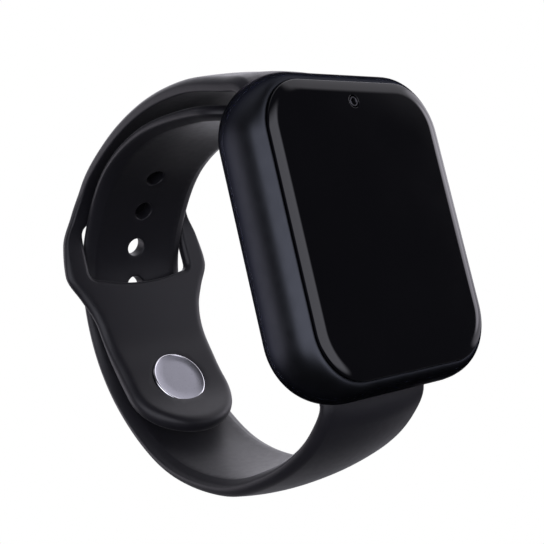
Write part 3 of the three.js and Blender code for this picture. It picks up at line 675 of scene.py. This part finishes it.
def case_skin():
    rows = case_rows()
    skin = Skin()
    rings = [skin.ring(row) for row in rows]
    first, last = FIRST_SEAT_ROW, FIRST_SEAT_ROW + REAR_ROWS
    seat_columns = {}
    for start, end_z in ((TOP_START, SEAT_Z), (BOTTOM_START, -SEAT_Z)):
        for column in range(start, start + END_COLUMNS):
            path = seat_path(rows[first][column], end_z)
            seat_columns[column] = [rings[first][column], *skin.ring(path[1:])]

    def corner(row, column, seated):
        if seated and first <= row <= last:
            return seat_columns[column][row - first]
        return rings[row][column]

    pocket_rows, pocket_columns = pocket_block(rows)
    for row, column in product(range(len(rows)), range(len(rings[0]))):
        if row in pocket_rows and column in pocket_columns:
            continue
        following, beside = (row + 1) % len(rows), (column + 1) % len(rings[0])
        seated = column in seat_columns and beside in seat_columns
        skin.face([
            corner(row, column, seated), corner(row, beside, seated),
            corner(following, beside, seated), corner(following, column, seated),
        ])
    # The side walls of the band seats.
    for start in (TOP_START, BOTTOM_START):
        for column, row in product((start, start + END_COLUMNS - 1), range(first, last)):
            skin.face([
                rings[row][column], rings[row + 1][column],
                corner(row + 1, column, True), corner(row, column, True),
            ])
    add_key_pocket(skin, rows, rings, pocket_rows, pocket_columns)
    return skin


def pocket_block(rows):
    """The rows and columns of quads on the +X side that the key's pocket opens."""
    depth = [row[0, 1] for row in rows]
    outside = range(RIM_ROWS, RIM_ROWS + FRONT_ROWS + WAIST_ROWS + REAR_ROWS - 1)
    front, back, reach = KEY_POCKET_REACH
    kept = [r for r in outside if depth[r] > KEY_Y - front and depth[r + 1] < KEY_Y + back]
    height = rows[RIM_ROWS][:, 2]
    kept_columns = [
        c for c in range(SIDE_COUNT - 1)
        if height[c] > KEY_Z - reach and height[c + 1] < KEY_Z + reach
    ]
    return kept, kept_columns


def add_key_pocket(skin, rows, rings, block_rows, block_columns):
    top, bottom = block_rows[0], block_rows[-1] + 1
    left, right = block_columns[0], block_columns[-1] + 1
    loop = [(top, c) for c in range(left, right)]
    loop += [(r, right) for r in range(top, bottom)]
    loop += [(bottom, c) for c in range(right, left, -1)]
    loop += [(r, left) for r in range(bottom, top, -1)]
    border = [rings[r][c] for r, c in loop]
    around = [(rows[r][c][1], rows[r][c][2]) for r, c in loop]
    grow = 2 * COVER_GAP
    mouth = stadium(KEY_LENGTH + grow, KEY_WIDTH + grow, KEY_Y, KEY_Z, around)
    lip_width, lip_depth = KEY_POCKET_LIP
    grow += 2 * lip_width
    wide = stadium(KEY_LENGTH + grow, KEY_WIDTH + grow, KEY_Y, KEY_Z, around)

    def surface_x(y):
        if y < WIDEST_Y:
            rise = (WIDEST_Y - y) / (WIDEST_Y - RIM_Y)
            return CASE_WIDTH / 2 - FRONT_INSET * (1 - math.sqrt(1 - rise**2))
        fall = (y - WIDEST_Y) / (CASE_BACK_Y - WIDEST_Y)
        return CASE_WIDTH / 2 - BACK_INSET * (1 - math.sqrt(1 - fall**2))

    rings = skin.tube([
        [(surface_x(y), y, z) for y, z in wide],
        [
            (surface_x(y) - lip_depth / 4, y + 0.15 * (wy - y), z + 0.15 * (wz - z))
            for (y, z), (wy, wz) in zip(mouth, wide)
        ],
        [(surface_x(y) - lip_depth, y, z) for y, z in mouth],
        [(KEY_POCKET_X, y, z) for y, z in mouth],
    ])
    skin.join([border, rings[0]])
    skin.fan(rings[-1], (KEY_POCKET_X, KEY_Y, KEY_Z))


def make_case():
    piece = build("watch_case", case_skin(), "case", [case_metal], ["case_body"])
    rods = []
    for radius, start, end in KEY_BORES:
        rods.append((radius, (start, KEY_Y, KEY_Z), (end, KEY_Y, KEY_Z)))
    radius, start, end = BAR_TIP_BORE
    for z, side in product((-BAR_Z, BAR_Z), (-1, 1)):
        rods.append((radius, (side * start, BAR_Y, z), (side * end, BAR_Y, z)))
    radius, start, end = SCREW_BORE
    for x, z in product((-SCREW_X, SCREW_X), (-SCREW_Z, SCREW_Z)):
        rods.append((radius, (x, start, z), (x, end, z)))
    drill(piece, rods)
    soften(piece, 0.1, 35)


# ---------------- glass and camera


def glass_profile():
    """The glass's edge from its back face round its side to its flat front, as (inset, y)."""
    radius, end = GLASS_ARC[0], math.radians(GLASS_ARC[1])
    start = GLASS_ROUND * (1 - math.sin(end))
    fall = radius * (1 - math.cos(end))
    profile = [(0.08, GLASS_BACK_Y), (0, GLASS_BACK_Y - 0.08), (0, GLASS_EDGE_Y)]
    for angle in np.linspace(math.pi / 2, end, 8):
        inset = start + GLASS_ROUND * (math.sin(end) - math.sin(angle))
        y = FRONT_Y + fall + GLASS_ROUND * (math.cos(end) - math.cos(angle))
        profile.append((inset, y))
    for angle in np.linspace(end, 0, 12)[1:]:
        inset = start + radius * (math.sin(end) - math.sin(angle))
        profile.append((inset, FRONT_Y + radius * (1 - math.cos(angle))))
    flat = profile[-1][0]
    return [*profile, (flat + 0.05, FRONT_Y), (flat + 0.12, FRONT_Y)]


def make_glass():
    skin = Skin()
    profile = [(GLASS_INSET + inset, y) for inset, y in glass_profile()]
    rings = skin.tube(inset_ring(inset, y) for inset, y in profile)
    hole_profile = [
        (0.03, GLASS_BACK_Y), (0, GLASS_BACK_Y - 0.03), (0, FRONT_Y + 0.05),
        (0.02, FRONT_Y + 0.01), (0.05, FRONT_Y), (0.09, FRONT_Y), (0.16, FRONT_Y),
    ]
    flats = [circle(CAMERA_HOLE_RADIUS + grow, 48, (0, CAMERA_Z)) for grow, _ in hole_profile]
    holes = skin.tube(at_depth(flat, y) for flat, (_, y) in zip(flats, hole_profile))
    for end in (0, -1):
        inset, y = profile[end]
        fill_between(
            skin, (rings[end], inset_outline(inset)), [(holes[end], flats[end])], 3.0,
            lambda places, y=y: at_depth(places, y),
        )
    piece = build("watch_glass", skin, "case", [cover_glass], ["front_glass"])
    weigh_normals(piece, 80)


def turned(profile, count, place):
    """Closed rings (radius, height) round an axis; place(x, height, z) puts them in the frame."""
    return [
        [place(x, height, z) for x, z in circle(radius, count)]
        for radius, height in profile
    ]


def make_camera_ring():
    outer, inner = CAMERA_RING
    front, back = FRONT_Y + 0.05, GLASS_BACK_Y
    round_off = 0.06
    profile = [
        (inner, back), (inner, front + round_off), (inner + round_off, front),
        (outer - round_off, front), (outer, front + round_off), (outer, back),
    ]
    skin = Skin()
    rings = skin.tube(turned(profile, 48, lambda x, y, z: (x, y, z + CAMERA_Z)))
    skin.join([rings[-1], rings[0]])
    build("watch_camera_ring", skin, "case", [ring_metal], ["camera_ring"])


# ---------------- side key


def make_key():
    around = circle(1.0, 64)
    directions = [(KEY_Y + a * 3, KEY_Z + b * 8) for a, b in around]
    back = KEY_POCKET_X + 0.5
    skin = Skin()
    shapes = []
    for grow, x in (
        (-0.12, back), (0, back + 0.12), (0, KEY_FACE_X - 0.3), (-0.06, KEY_FACE_X - 0.14),
        (-0.18, KEY_FACE_X - 0.05), (-0.36, KEY_FACE_X), (-1.0, KEY_FACE_X),
    ):
        shape = stadium(KEY_LENGTH + 2 * grow, KEY_WIDTH + 2 * grow, KEY_Y, KEY_Z, directions)
        shapes.append([(x, y, z) for y, z in shape])
    rings = skin.tube(shapes)
    skin.fan(rings[-1], (KEY_FACE_X, KEY_Y, KEY_Z))
    stem = skin.tube(
        [(x, KEY_Y + radius * a, KEY_Z + radius * b) for a, b in around]
        for radius, x in ((0.6, back), (0.6, KEY_STEM_END_X + 0.1), (0.5, KEY_STEM_END_X))
    )
    skin.join([rings[0], stem[0]])
    skin.fan(stem[-1], (KEY_STEM_END_X, KEY_Y, KEY_Z))
    build("watch_key", skin, "key", [case_metal], ["power_key"])


# ---------------- back cover


def cover_openings():
    """Holes through the back cover, as (x, z, radius, rounding, points round it)."""
    x, z, radius = CONTACT
    openings = [(side * x, z, radius + COVER_GAP, 0.12, 40) for side in (-1, 1)]
    x, z, pitch, count, radius = SPEAKER_HOLES
    openings += [(x, z + (k - (count - 1) / 2) * pitch, radius, 0.06, 20) for k in range(count)]
    return openings


def make_cover():
    skin = Skin()
    width, height, corner = COVER
    back, front = -COVER_THICKNESS, 0.0
    edge = [(0.1, back), (0, back + 0.1), (0, -0.25), (0.07, -0.08), (0.25, front)]
    loops = [outline(width - 2 * inset, height - 2 * inset, corner - inset) for inset, _ in edge]
    rings = skin.tube(at_depth(loop, y) for loop, (_, y) in zip(loops, edge))
    back_holes, front_holes = [], []
    for x, z, radius, roll, count in cover_openings():
        steps = [(0, back), (0, -roll), (0.3 * roll, -0.3 * roll), (roll, front)]
        flats = [circle(radius + grow, count, (x, z)) for grow, _ in steps]
        hole = skin.tube(at_depth(flat, y) for flat, (_, y) in zip(flats, steps))
        back_holes.append((hole[0], flats[0]))
        front_holes.append((hole[-1], flats[-1]))
    for end, y, holes in ((0, back, back_holes), (-1, front, front_holes)):
        fill_between(
            skin, (rings[end], loops[end]), holes, 2.0, lambda places, y=y: at_depth(places, y),
        )
    piece = build("watch_cover", skin, "cover", [cover_plastic], ["back_cover"])
    radius, half, y, z = NAIL_NOTCH
    drill(piece, [(radius, (-half, y, z), (half, y, z))])
    soften(piece, 0.05, 50)


def make_contact(name, side):
    x_middle, z_middle, radius = CONTACT
    profile = [
        (0.0001, -1.05), (radius, -1.05), (radius, -0.17), (radius - 0.05, -0.09),
        (radius - 0.16, -0.05), (0.5, -0.05), (0.4, -0.1), (0.0001, -0.12),
    ]
    skin = Skin()
    skin.tube(turned(profile, 40, lambda x, y, z: (x + side * x_middle, y, z + z_middle)))
    build(f"watch_contact_{name}", skin, "cover", [gold], [f"charge_contact_{name}"])


# ---------------- band


def catmull_rom(points, per_span=60):
    """A centripetal Catmull-Rom curve through the points, as many small steps."""
    p = np.array(points, float)
    p = np.vstack([2 * p[0] - p[1], p, 2 * p[-1] - p[-2]])
    out = []
    for k in range(1, len(p) - 2):
        p0, p1, p2, p3 = p[k - 1], p[k], p[k + 1], p[k + 2]
        d0, d1, d2 = (np.sqrt(np.linalg.norm(b - a)) for a, b in ((p0, p1), (p1, p2), (p2, p3)))
        m1 = ((p1 - p0) / d0 - (p2 - p0) / (d0 + d1) + (p2 - p1) / d1) * d1
        m2 = ((p2 - p1) / d1 - (p3 - p1) / (d1 + d2) + (p3 - p2) / d2) * d1
        t = np.linspace(0, 1, per_span, endpoint=False)[:, None]
        out.append(hermite(p1, m1, p2, m2, t))
    out.append(p[-2][None, :])
    return np.vstack(out)


class Midline:
    """A band's mid-line, measured along its length; outward_turn says which way is out."""

    def __init__(self, points, outward_turn):
        self.points = catmull_rom(points)
        steps = np.linalg.norm(np.diff(self.points, axis=0), axis=1)
        self.distance = np.concatenate([[0], np.cumsum(steps)])
        self.length = self.distance[-1]
        tangent = np.gradient(self.points, self.distance, axis=0)
        self.tangent = tangent / np.linalg.norm(tangent, axis=1)[:, None]
        self.turn = outward_turn

    def look_up(self, table, s):
        return columns(*(np.interp(s, self.distance, table[:, k]) for k in (0, 1)))

    def place(self, s, x, height):
        """3-D points at distance s along, x across and height outwards."""
        s = np.asarray(s, float)
        held = np.clip(s, 0, self.length)
        tangent = self.look_up(self.tangent, held)
        outward = self.turn * columns(-tangent[..., 1], tangent[..., 0])
        yz = self.look_up(self.points, held) + tangent * (s - held)[..., None]
        yz = yz + outward * np.asarray(height)[..., None]
        return columns(np.broadcast_to(x, s.shape), yz[..., 0], yz[..., 1])

    def distance_down_to(self, z):
        """Where the mid-line passes a height on its way down."""
        return self.distance[np.argmax((self.distance > DOWNWARD_FROM) & (self.points[:, 1] < z))]


def hermite(a, slope_a, b, slope_b, t):
    """A cubic from a to b with those slopes at its ends, for t from 0 to 1."""
    square = (3 * (b - a) - 2 * slope_a - slope_b) * t**2
    return a + slope_a * t + square + (2 * (a - b) + slope_a + slope_b) * t**3


def monotone_table(table):
    """A smooth function through table points, flat at each peak."""
    x, y = (np.array(values, float) for values in zip(*table))
    slope = np.diff(y) / np.diff(x)
    m = np.zeros(len(x))
    same_way = slope[:-1] * slope[1:] > 0
    m[1:-1] = np.where(same_way, 2 * slope[:-1] * slope[1:] / (slope[:-1] + slope[1:] + 1e-12), 0)

    def value(at):
        at = np.clip(at, x[0], x[-1])
        k = np.clip(np.searchsorted(x, at, side="right") - 1, 0, len(x) - 2)
        width = x[k + 1] - x[k]
        return hermite(y[k], m[k] * width, y[k + 1], m[k + 1] * width, (at - x[k]) / width)

    return value


short_width_at = monotone_table(SHORT_WIDTHS)


class BandPiece:
    """What both pieces of the band share. s is the distance from the spring bar."""

    @classmethod
    def thickness(cls, s):
        """Half the plain thickness, which grows round the spring bar."""
        return cls.half + (KNUCKLE_RADIUS - cls.half) * (1 - smooth_step(s, 0.4, 2.2))

    @classmethod
    def outer(cls, s, x):
        """The outer face's height: crowned from just outside the case, fading along the band."""
        crown = smooth_step(s, 1, 3.5) * (1 - smooth_step(s, *cls.crown_fade))
        across = np.clip(1 - (x / cls.half_width(s)) ** 2, 0, 1)
        return cls.thickness(s) + BAND_CROWN * crown * across


class ShortPiece(BandPiece):
    line = Midline(SHORT_MIDLINE, 1)
    half = BAND_HALF
    half_width_end = SHORT_END_HALF_WIDTH
    tip = (FLAP_END_RADIUS, FLAP_END_RADIUS)
    crown_fade = (8, 24)
    round_share = 1.0

    @classmethod
    def half_width(cls, s):
        return short_width_at(cls.line.length - s)

    @classmethod
    def inner(cls, s):
        """The inner face's depth: thicker on the flap, round the stud."""
        pad_start = STUD_FROM_TIP + 3
        return cls.thickness(s) + FLAP_PAD * (1 - smooth_step(cls.line.length - s, pad_start, 9))

    @staticmethod
    def edge(s):
        """Inner reach and drop of the edge: crisp near the case, softly rounded on the flap."""
        soft = smooth_step(s, *SOFTENING)
        return [low + (high - low) * soft for low, high in zip(CRISP_EDGE, SOFT_EDGE)]


class LongPiece(BandPiece):
    line = Midline(LONG_MIDLINE, -1)
    half = LONG_HALF
    half_width_end = LONG_END_HALF_WIDTH
    tip = (LONG_TIP_RADIUS, LONG_HALF_WIDTH)
    crown_fade = (20, 70)
    round_share = 0.0

    @staticmethod
    def half_width(s):
        wider = LONG_END_HALF_WIDTH - LONG_HALF_WIDTH
        return LONG_HALF_WIDTH + wider * (1 - smooth_step(s, 0, 14))

    @classmethod
    def inner(cls, s):
        return cls.thickness(s)

    @staticmethod
    def edge(_):
        """Inner reach and drop of the edge: a broad shoulder all along."""
        return SHOULDER_EDGE


def resample(points, count):
    closed = np.vstack([points, points[:1]])
    steps = np.linalg.norm(np.diff(closed, axis=0), axis=1)
    along = np.concatenate([[0], np.cumsum(steps)])
    at = np.linspace(0, along[-1], count, endpoint=False)
    return columns(*(np.interp(at, along, closed[:, k]) for k in (0, 1)))


def mirrored(half):
    """A closed loop from its half on one side of the band's middle."""
    return np.vstack([half, (half * (1, -1))[::-1][1:]])


def band_outline(piece, spacing=0.62):
    """The band's edge as (distance along, across), once round."""
    length, width = piece.line.length, piece.half_width_end
    tip_length, tip_width = piece.tip
    side_start = END_CORNER - KNUCKLE_RADIUS
    corner = quarter((side_start, width - END_CORNER), (-END_CORNER, END_CORNER), 16)
    side_s = np.arange(side_start + 0.4, length - tip_length, 0.4)
    side = columns(side_s, piece.half_width(side_s))
    tip = quarter((length - tip_length, 0), (tip_length, tip_width), 60)[::-1]
    points = mirrored(np.vstack([corner, side, tip]))
    steps = np.linalg.norm(np.diff(points, axis=0), axis=1).sum() + 2 * width
    return resample(points, int(steps / spacing))


def inward_normals(points, reach=1):
    """Unit normals of a closed loop, pointing into it."""
    tangent = np.roll(points, -reach, axis=0) - np.roll(points, reach, axis=0)
    tangent /= np.linalg.norm(tangent, axis=1)[:, None]
    normal = columns(-tangent[:, 1], tangent[:, 0])
    ahead = np.roll(points, -1, axis=0)
    area = np.sum(points[:, 0] * ahead[:, 1] - ahead[:, 0] * points[:, 1])
    return normal if area > 0 else -normal


def rounded(reach, drop, angles, side):
    """The part of a rounded edge on one face, as (offset, side, drop)."""
    return [(reach * (1 - math.sin(a)), side, drop * (1 - math.cos(a))) for a in angles]


def rolled(reach_in, drop_in, reach_out, drop_out, steps_in, steps_out):
    """An edge rounded over from the inner face to the outer face."""
    inner = rounded(reach_in, drop_in, np.linspace(0, math.pi / 2, steps_in + 1), "inner")
    return inner + rounded(reach_out, drop_out, np.linspace(math.pi / 2, 0, steps_out + 1), "outer")


def add_edge(skin, piece, loop, normals, profile):
    """Adds the rings of one edge of a band; returns its loops on the inner and outer face."""
    rings, flats = [], []
    for offset, side, drop in profile:
        flat = loop + normals * np.asarray(offset)[..., None]
        s, x = flat[:, 0], flat[:, 1]
        height = drop - piece.inner(s) if side == "inner" else piece.outer(s, x) - drop
        rings.append(skin.ring(piece.line.place(s, x, height)))
        flats.append(flat)
    skin.join(rings)
    return (rings[0], flats[0]), (rings[-1], flats[-1])


ROLL_POWER = 1.25  # over 1, a rolled edge leaves the inner face more gently
# The shoulder of the long piece, as shares of its reach and of its drop: a slanted flat
# that meets the inner face at a clear edge and rolls over into the side.
SHOULDER = [(1, 0), (0.97, 0.02), (0.6, 0.26), (0.34, 0.46), (0.16, 0.64), (0.05, 0.82), (0, 1)]
OUTER_REACH = 1.25
OUTER_DROP = 0.58  # the most of the thickness that the outer face's rounding takes
BAR_DROP = 0.49  # the share of the thickness that each face's rounding takes at the bar
SIDE_GAP = 0.02  # the share that is left between the two roundings


def outline_profile(piece, loop):
    """The outer edge: D-shaped along the sides, and fully round at the spring bar."""
    s, x = loop[:, 0], loop[:, 1]
    at_bar = 1 - smooth_step(s, -0.6, 2.4)
    thick = piece.inner(s) + piece.outer(s, x)
    reach, drop = piece.edge(s)
    reach_in = reach + (KNUCKLE_RADIUS - reach) * at_bar
    reach_out = OUTER_REACH + (KNUCKLE_RADIUS - OUTER_REACH) * at_bar
    drop_in = thick * (drop + (BAR_DROP - drop) * at_bar)
    outer_drop = np.minimum(OUTER_DROP, 1 - SIDE_GAP - drop)
    drop_out = thick * (outer_drop * (1 - at_bar) + BAR_DROP * at_bar)
    round_share = np.maximum(at_bar, piece.round_share)
    rings = []
    turn = np.linspace(0, math.pi / 2, len(SHOULDER))
    for angle, (shoulder_reach, shoulder_drop) in zip(turn, SHOULDER):
        round_reach, round_drop = 1 - math.sin(angle), (1 - math.cos(angle)) ** ROLL_POWER
        share_reach = shoulder_reach + (round_reach - shoulder_reach) * round_share
        share_drop = shoulder_drop + (round_drop - shoulder_drop) * round_share
        rings.append((reach_in * share_reach, "inner", drop_in * share_drop))
    return rings + rounded(reach_out, drop_out, np.linspace(math.pi / 2, 0, 10), "outer")


def band_skin(piece, openings):
    """openings are (loop, normals away from the opening, profile)."""
    skin = Skin()
    line = piece.line
    loop = band_outline(piece)
    outside = (loop, inward_normals(loop), outline_profile(piece, loop))
    edges = [add_edge(skin, piece, *edge) for edge in (outside, *openings)]
    inner_edge, *inner_holes = [inner for inner, _ in edges]
    outer_edge, *outer_holes = [outer for _, outer in edges]
    fill_between(
        skin, inner_edge, inner_holes, 1.0,
        lambda at: line.place(at[:, 0], at[:, 1], -piece.inner(at[:, 0])),
    )
    fill_between(
        skin, outer_edge, outer_holes, 1.0,
        lambda at: line.place(at[:, 0], at[:, 1], piece.outer(at[:, 0], at[:, 1])),
    )
    return skin


def slot_loop():
    heights = (SLOT_TOP_Z, SLOT_BOTTOM_CORNER_Z, SLOT_BOTTOM_Z)
    top, corner, bottom = (ShortPiece.line.distance_down_to(z) for z in heights)
    radius, low = SLOT_CORNER, SLOT_LOW_CORNER
    top_corner = quarter((top + radius, SLOT_TOP_HALF_WIDTH - radius), (-radius, radius), 12)
    flat = SLOT_HALF_WIDTH - low
    low_corner = quarter((corner - low, flat), (low, low), 12)[::-1]
    x = np.linspace(flat, 0, 20)[1:]
    bottom_edge = columns(corner + (bottom - corner) * (1 - (x / flat) ** 2), x)
    return resample(mirrored(np.vstack([top_corner, low_corner, bottom_edge])), 120)


def stud_axis():
    """The stud's centre on the flap's mid-line, and the way out of the loop there."""
    s = np.full(2, ShortPiece.line.length - STUD_FROM_TIP)
    centre, above = ShortPiece.line.place(s, 0.0, np.array([0.0, 1.0]))
    return centre, above - centre


def make_band(name, skin, body, replaced, bar_z):
    """Builds a band piece and drills the bore of its spring bar."""
    piece = build(name, skin, body, [silicone], replaced)
    reach = BAR_BORE_REACH
    drill(piece, [(BAR_BORE_RADIUS, (-reach, BAR_Y, bar_z), (reach, BAR_Y, bar_z))])
    return piece


def make_short_band():
    slot = slot_loop()
    around = circle(1.0, 72)
    stud = np.tile((ShortPiece.line.length - STUD_FROM_TIP, 0.0), (len(around), 1))
    recess = STUD_RADIUS + 0.1
    openings = [(slot, -inward_normals(slot, 2), rolled(1.0, 0.95, 0.55, 0.6, 7, 5))]
    openings.append((stud, around, [
        (recess + 0.17, "inner", 0.0), (recess + 0.09, "inner", 0.02),
        (recess + 0.03, "inner", 0.07), (recess, "inner", 0.18), (recess, "inner", 0.95),
        (1.0, "inner", 0.95), (1.0, "outer", 0.15), (1.05, "outer", 0.04), (1.15, "outer", 0.0),
    ]))
    skin = band_skin(ShortPiece, openings)
    piece = make_band("watch_band_short", skin, None, ["upper_strap", "clasp_flap"], BAR_Z)
    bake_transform(piece)


def make_long_band():
    centre, outward = stud_axis()
    line = LongPiece.line
    away = np.linalg.norm(line.points - (centre + outward * STUD_HOLE_REACH)[1:], axis=1)
    away[line.distance > line.length * 0.7] = np.inf
    first = line.distance[np.argmin(away)] - STUD_HOLE_SHIFT
    around = circle(1.0, 48)
    openings = []
    for hole in range(HOLE_COUNT):
        loop = (first + hole * HOLE_PITCH, 0.0) + around * HOLE_RADIUS
        openings.append((loop, around, rolled(0.26, 0.26, 0.26, 0.26, 4, 4)))
    make_band("watch_band_long", band_skin(LongPiece, openings), "case", ["lower_strap"], -BAR_Z)


# ---------------- stud

DISC_FACE = -BAND_HALF - FLAP_PAD - 0.35
DISC_BACK = DISC_FACE + 1.1
HEAD_START = STUD_HOLE_REACH + LONG_HALF + 0.25


def stud_place():
    centre, outward = stud_axis()
    side = np.array([1.0, 0.0, 0.0])
    up = np.cross(side, outward)
    return lambda x, height, z: centre + side * x + outward * height + up * z


def make_stud_disc():
    place = stud_place()
    rim = [(STUD_RADIUS - 0.1, DISC_BACK), (STUD_RADIUS, DISC_BACK - 0.1)] + [
        (STUD_RADIUS - inset, DISC_FACE + depth)
        for inset, depth in (
            (0, 0.22), (0.03, 0.12), (0.1, 0.04), (0.2, 0), (0.3, 0.015), (0.36, 0.05),
        )
    ]
    middle = DISC_FACE + 0.04
    skin = Skin()
    rings = skin.tube(turned(rim, 128, place), material=1)
    face = skin.tube(turned(
        [(STUD_RADIUS * 0.6, DISC_FACE + 0.045), (STUD_RADIUS * 0.25, middle)], 128, place,
    ))
    skin.join([rings[-1], face[0]])
    skin.fan(face[-1], place(0, middle, 0))
    skin.fan(rings[0], place(0, DISC_BACK, 0))
    build("watch_stud_disc", skin, "clasp", [stud_face, stud_rim], ["stud_disc"])


def make_stud_post():
    place = stud_place()
    start = DISC_BACK + 0.02
    profile = [(POST_RADIUS, start), (POST_RADIUS, HEAD_START - 0.1)] + [
        (radius, HEAD_START + height)
        for radius, height in (
            (POST_RADIUS + 0.03, 0), (0.92, 0.15), (0.95, 0.3), (0.93, 0.45), (0.82, 0.65),
            (0.6, 0.82), (0.3, 0.92),
        )
    ]
    skin = Skin()
    rings = skin.tube(turned(profile, 48, place))
    skin.fan(rings[0], place(0, start, 0))
    skin.fan(rings[-1], place(0, HEAD_START + 0.95, 0))
    build("watch_stud_post", skin, "clasp", [stud_rim], ["stud_post"])


make_case()
make_glass()
make_camera_ring()
make_key()
make_cover()
make_contact("left", -1)
make_contact("right", 1)
make_short_band()
make_long_band()
make_stud_disc()
make_stud_post()

# ---------------- carried-over nodes

CARRIED = [
    (gasket, "glass_gasket"),
    (lens, "camera_module"),
    (display, "display_panel"),
    (board, "main_board"),
    (battery_foil, "battery"),
    (chip, "processor memory_chip display_connector loudspeaker key_switch"),
    (shield, "mid_frame radio_shield microphone sim_holder vibration_motor"),
    (bar_steel, "frame_screw_1 frame_screw_2 frame_screw_3 frame_screw_4 key_spring"),
    (bar_steel, "upper_bar_tube upper_bar_tip upper_bar_spring"),
    (bar_steel, "lower_bar_tube lower_bar_tip lower_bar_spring"),
]

for material, names in CARRIED:
    for name in names.split():
        nodes[name].data.materials.clear()
        nodes[name].data.materials.append(material)
        if not name.endswith("_spring"):
            bevel(nodes[name], 0.06, 40)

# ---------------- camera, floor and light


CAMERA_PLACE = (-0.10733, -0.10591, -0.02038)
CAMERA_FORWARD = (0.66440, 0.73779, 0.11932)
CAMERA_UP = (0.08735, -0.23522, 0.96801)
CAMERA_LENS = 68.83
CAMERA_SENSOR = 36.0


def make_camera():
    data = bpy.data.cameras.new("camera")
    data.sensor_width = CAMERA_SENSOR
    data.lens = CAMERA_LENS
    data.clip_start = 0.005
    data.clip_end = 20.0
    camera = add_object("camera", data)
    forward = Vector(CAMERA_FORWARD).normalized()
    right = forward.cross(Vector(CAMERA_UP)).normalized()
    turn = Matrix((right, right.cross(forward), -forward)).transposed().to_4x4()
    camera.matrix_world = Matrix.Translation(CAMERA_PLACE) @ turn
    bpy.context.scene.camera = camera


def make_floor():
    """A wide white sheet just under the object, clear from below, which casts no light."""
    half = 3.0
    z = cad_box[0][2] - 0.0005
    mesh = bpy.data.meshes.new("floor")
    corners = [(-half, -half, z), (half, -half, z), (half, half, z), (-half, half, z)]
    mesh.from_pydata(corners, [], [(0, 1, 2, 3)])
    floor = add_object("floor", mesh)
    paper = bpy.data.materials.new("floor_paper")
    paper.use_nodes = True
    graph = Graph(paper.node_tree)
    graph.nodes.clear()
    below = graph.node("ShaderNodeNewGeometry", output="Backfacing")
    white = graph.node("ShaderNodeEmission")
    clear = graph.node("ShaderNodeBsdfTransparent")
    sheet = graph.node("ShaderNodeMixShader", {0: below, 1: white, 2: clear})
    graph.node("ShaderNodeOutputMaterial", {"Surface": sheet})
    mesh.materials.append(paper)
    floor.visible_glossy = False
    floor.visible_diffuse = False
    floor.visible_shadow = False


class Studio(Graph):
    """The light round the object: soft panels in a dim room, and a white sweep behind."""

    def __init__(self):
        world = bpy.data.worlds.new("studio")
        bpy.context.scene.world = world
        world.use_nodes = True
        super().__init__(world.node_tree)
        self.nodes.clear()
        self.way = self.node("ShaderNodeTexCoord", output="Generated")
        self.total = None

    def math(self, operation, a, b):
        return self.node("ShaderNodeMath", {0: a, 1: b}, operation=operation)

    def near(self, direction, inner, outer):
        """1 within the inner angle of a direction, fading to 0 at the outer angle."""
        dot = self.node(
            "ShaderNodeVectorMath", {0: self.way, 1: Vector(direction).normalized()}, "Value",
            operation="DOT_PRODUCT",
        )
        return self.node("ShaderNodeMapRange", {
            "Value": dot, "From Min": math.cos(math.radians(outer)),
            "From Max": math.cos(math.radians(inner)),
        }, interpolation_type="SMOOTHSTEP")

    def shine(self, mask, colour, strength):
        """Adds light of a colour where the mask is above 0."""
        light = self.node("ShaderNodeVectorMath", {
            0: colour, "Scale": self.math("MULTIPLY", mask, strength),
        }, operation="SCALE")
        if self.total:
            light = self.node("ShaderNodeVectorMath", {0: self.total, 1: light})
        self.total = light

    def finish(self):
        room = self.node("ShaderNodeBackground", {"Color": self.total})
        sweep = self.node("ShaderNodeBackground", {"Color": (1, 1, 1, 1)})
        seen = self.node("ShaderNodeLightPath", output="Is Camera Ray")
        both = self.node("ShaderNodeMixShader", {0: seen, 1: room, 2: sweep})
        self.node("ShaderNodeOutputWorld", {"Surface": both})


ROOM = ((0.97, 0.95, 1.05), 0.042)  # colour and strength
STRIP = ((0.95, 0.95, 1.06), 1.6)
# Soft round panels: direction, inner and outer angle, colour and strength.
PANELS = [
    ((-0.5, 0.86, 0.1), 14, 31, (1.0, 0.95, 1.05), 1.1),  # behind, to the left
    ((0.8, -0.15, 0.6), 27, 35, (0.99, 0.97, 1.05), 0.8),  # above, to the right
    ((0.91, -0.41, 0.13), 9, 13, (0.99, 0.95, 1.07), 1.5),  # beside, to the right
    ((0.96, -0.24, 0.13), 18, 23, (0.99, 0.95, 1.07), 0.75),
    ((0.93, 0.25, 0.12), 14, 26, (0.99, 0.95, 1.07), 0.25),
    ((0.05, 0.35, 1), 20, 50, (0.98, 0.97, 1.05), 0.45),  # overhead
    ((0.55, 0.7, 0.5), 20, 48, (0.98, 0.96, 1.05), 1.0),  # the sweep behind
    ((0.5, 0.85, 0.12), 40, 75, (0.98, 0.96, 1.05), 0.15),
]


def make_light():
    studio = Studio()
    studio.shine(studio.near((0, 0, 1), 179, 180), *ROOM)
    # A long low panel in front, to the left.
    level = studio.near((0, 0, 1), 108, 122)
    level = studio.math("SUBTRACT", level, studio.near((0, 0, 1), 58, 72))
    studio.shine(studio.math("MULTIPLY", level, studio.near((-0.5, -0.86, 0), 58, 66)), *STRIP)
    for direction, inner, outer, colour, strength in PANELS:
        studio.shine(studio.near(direction, inner, outer), colour, strength)
    studio.finish()


make_camera()
make_floor()
make_light()
view = bpy.context.scene.view_settings
view.view_transform = "Standard"
view.look = "None"
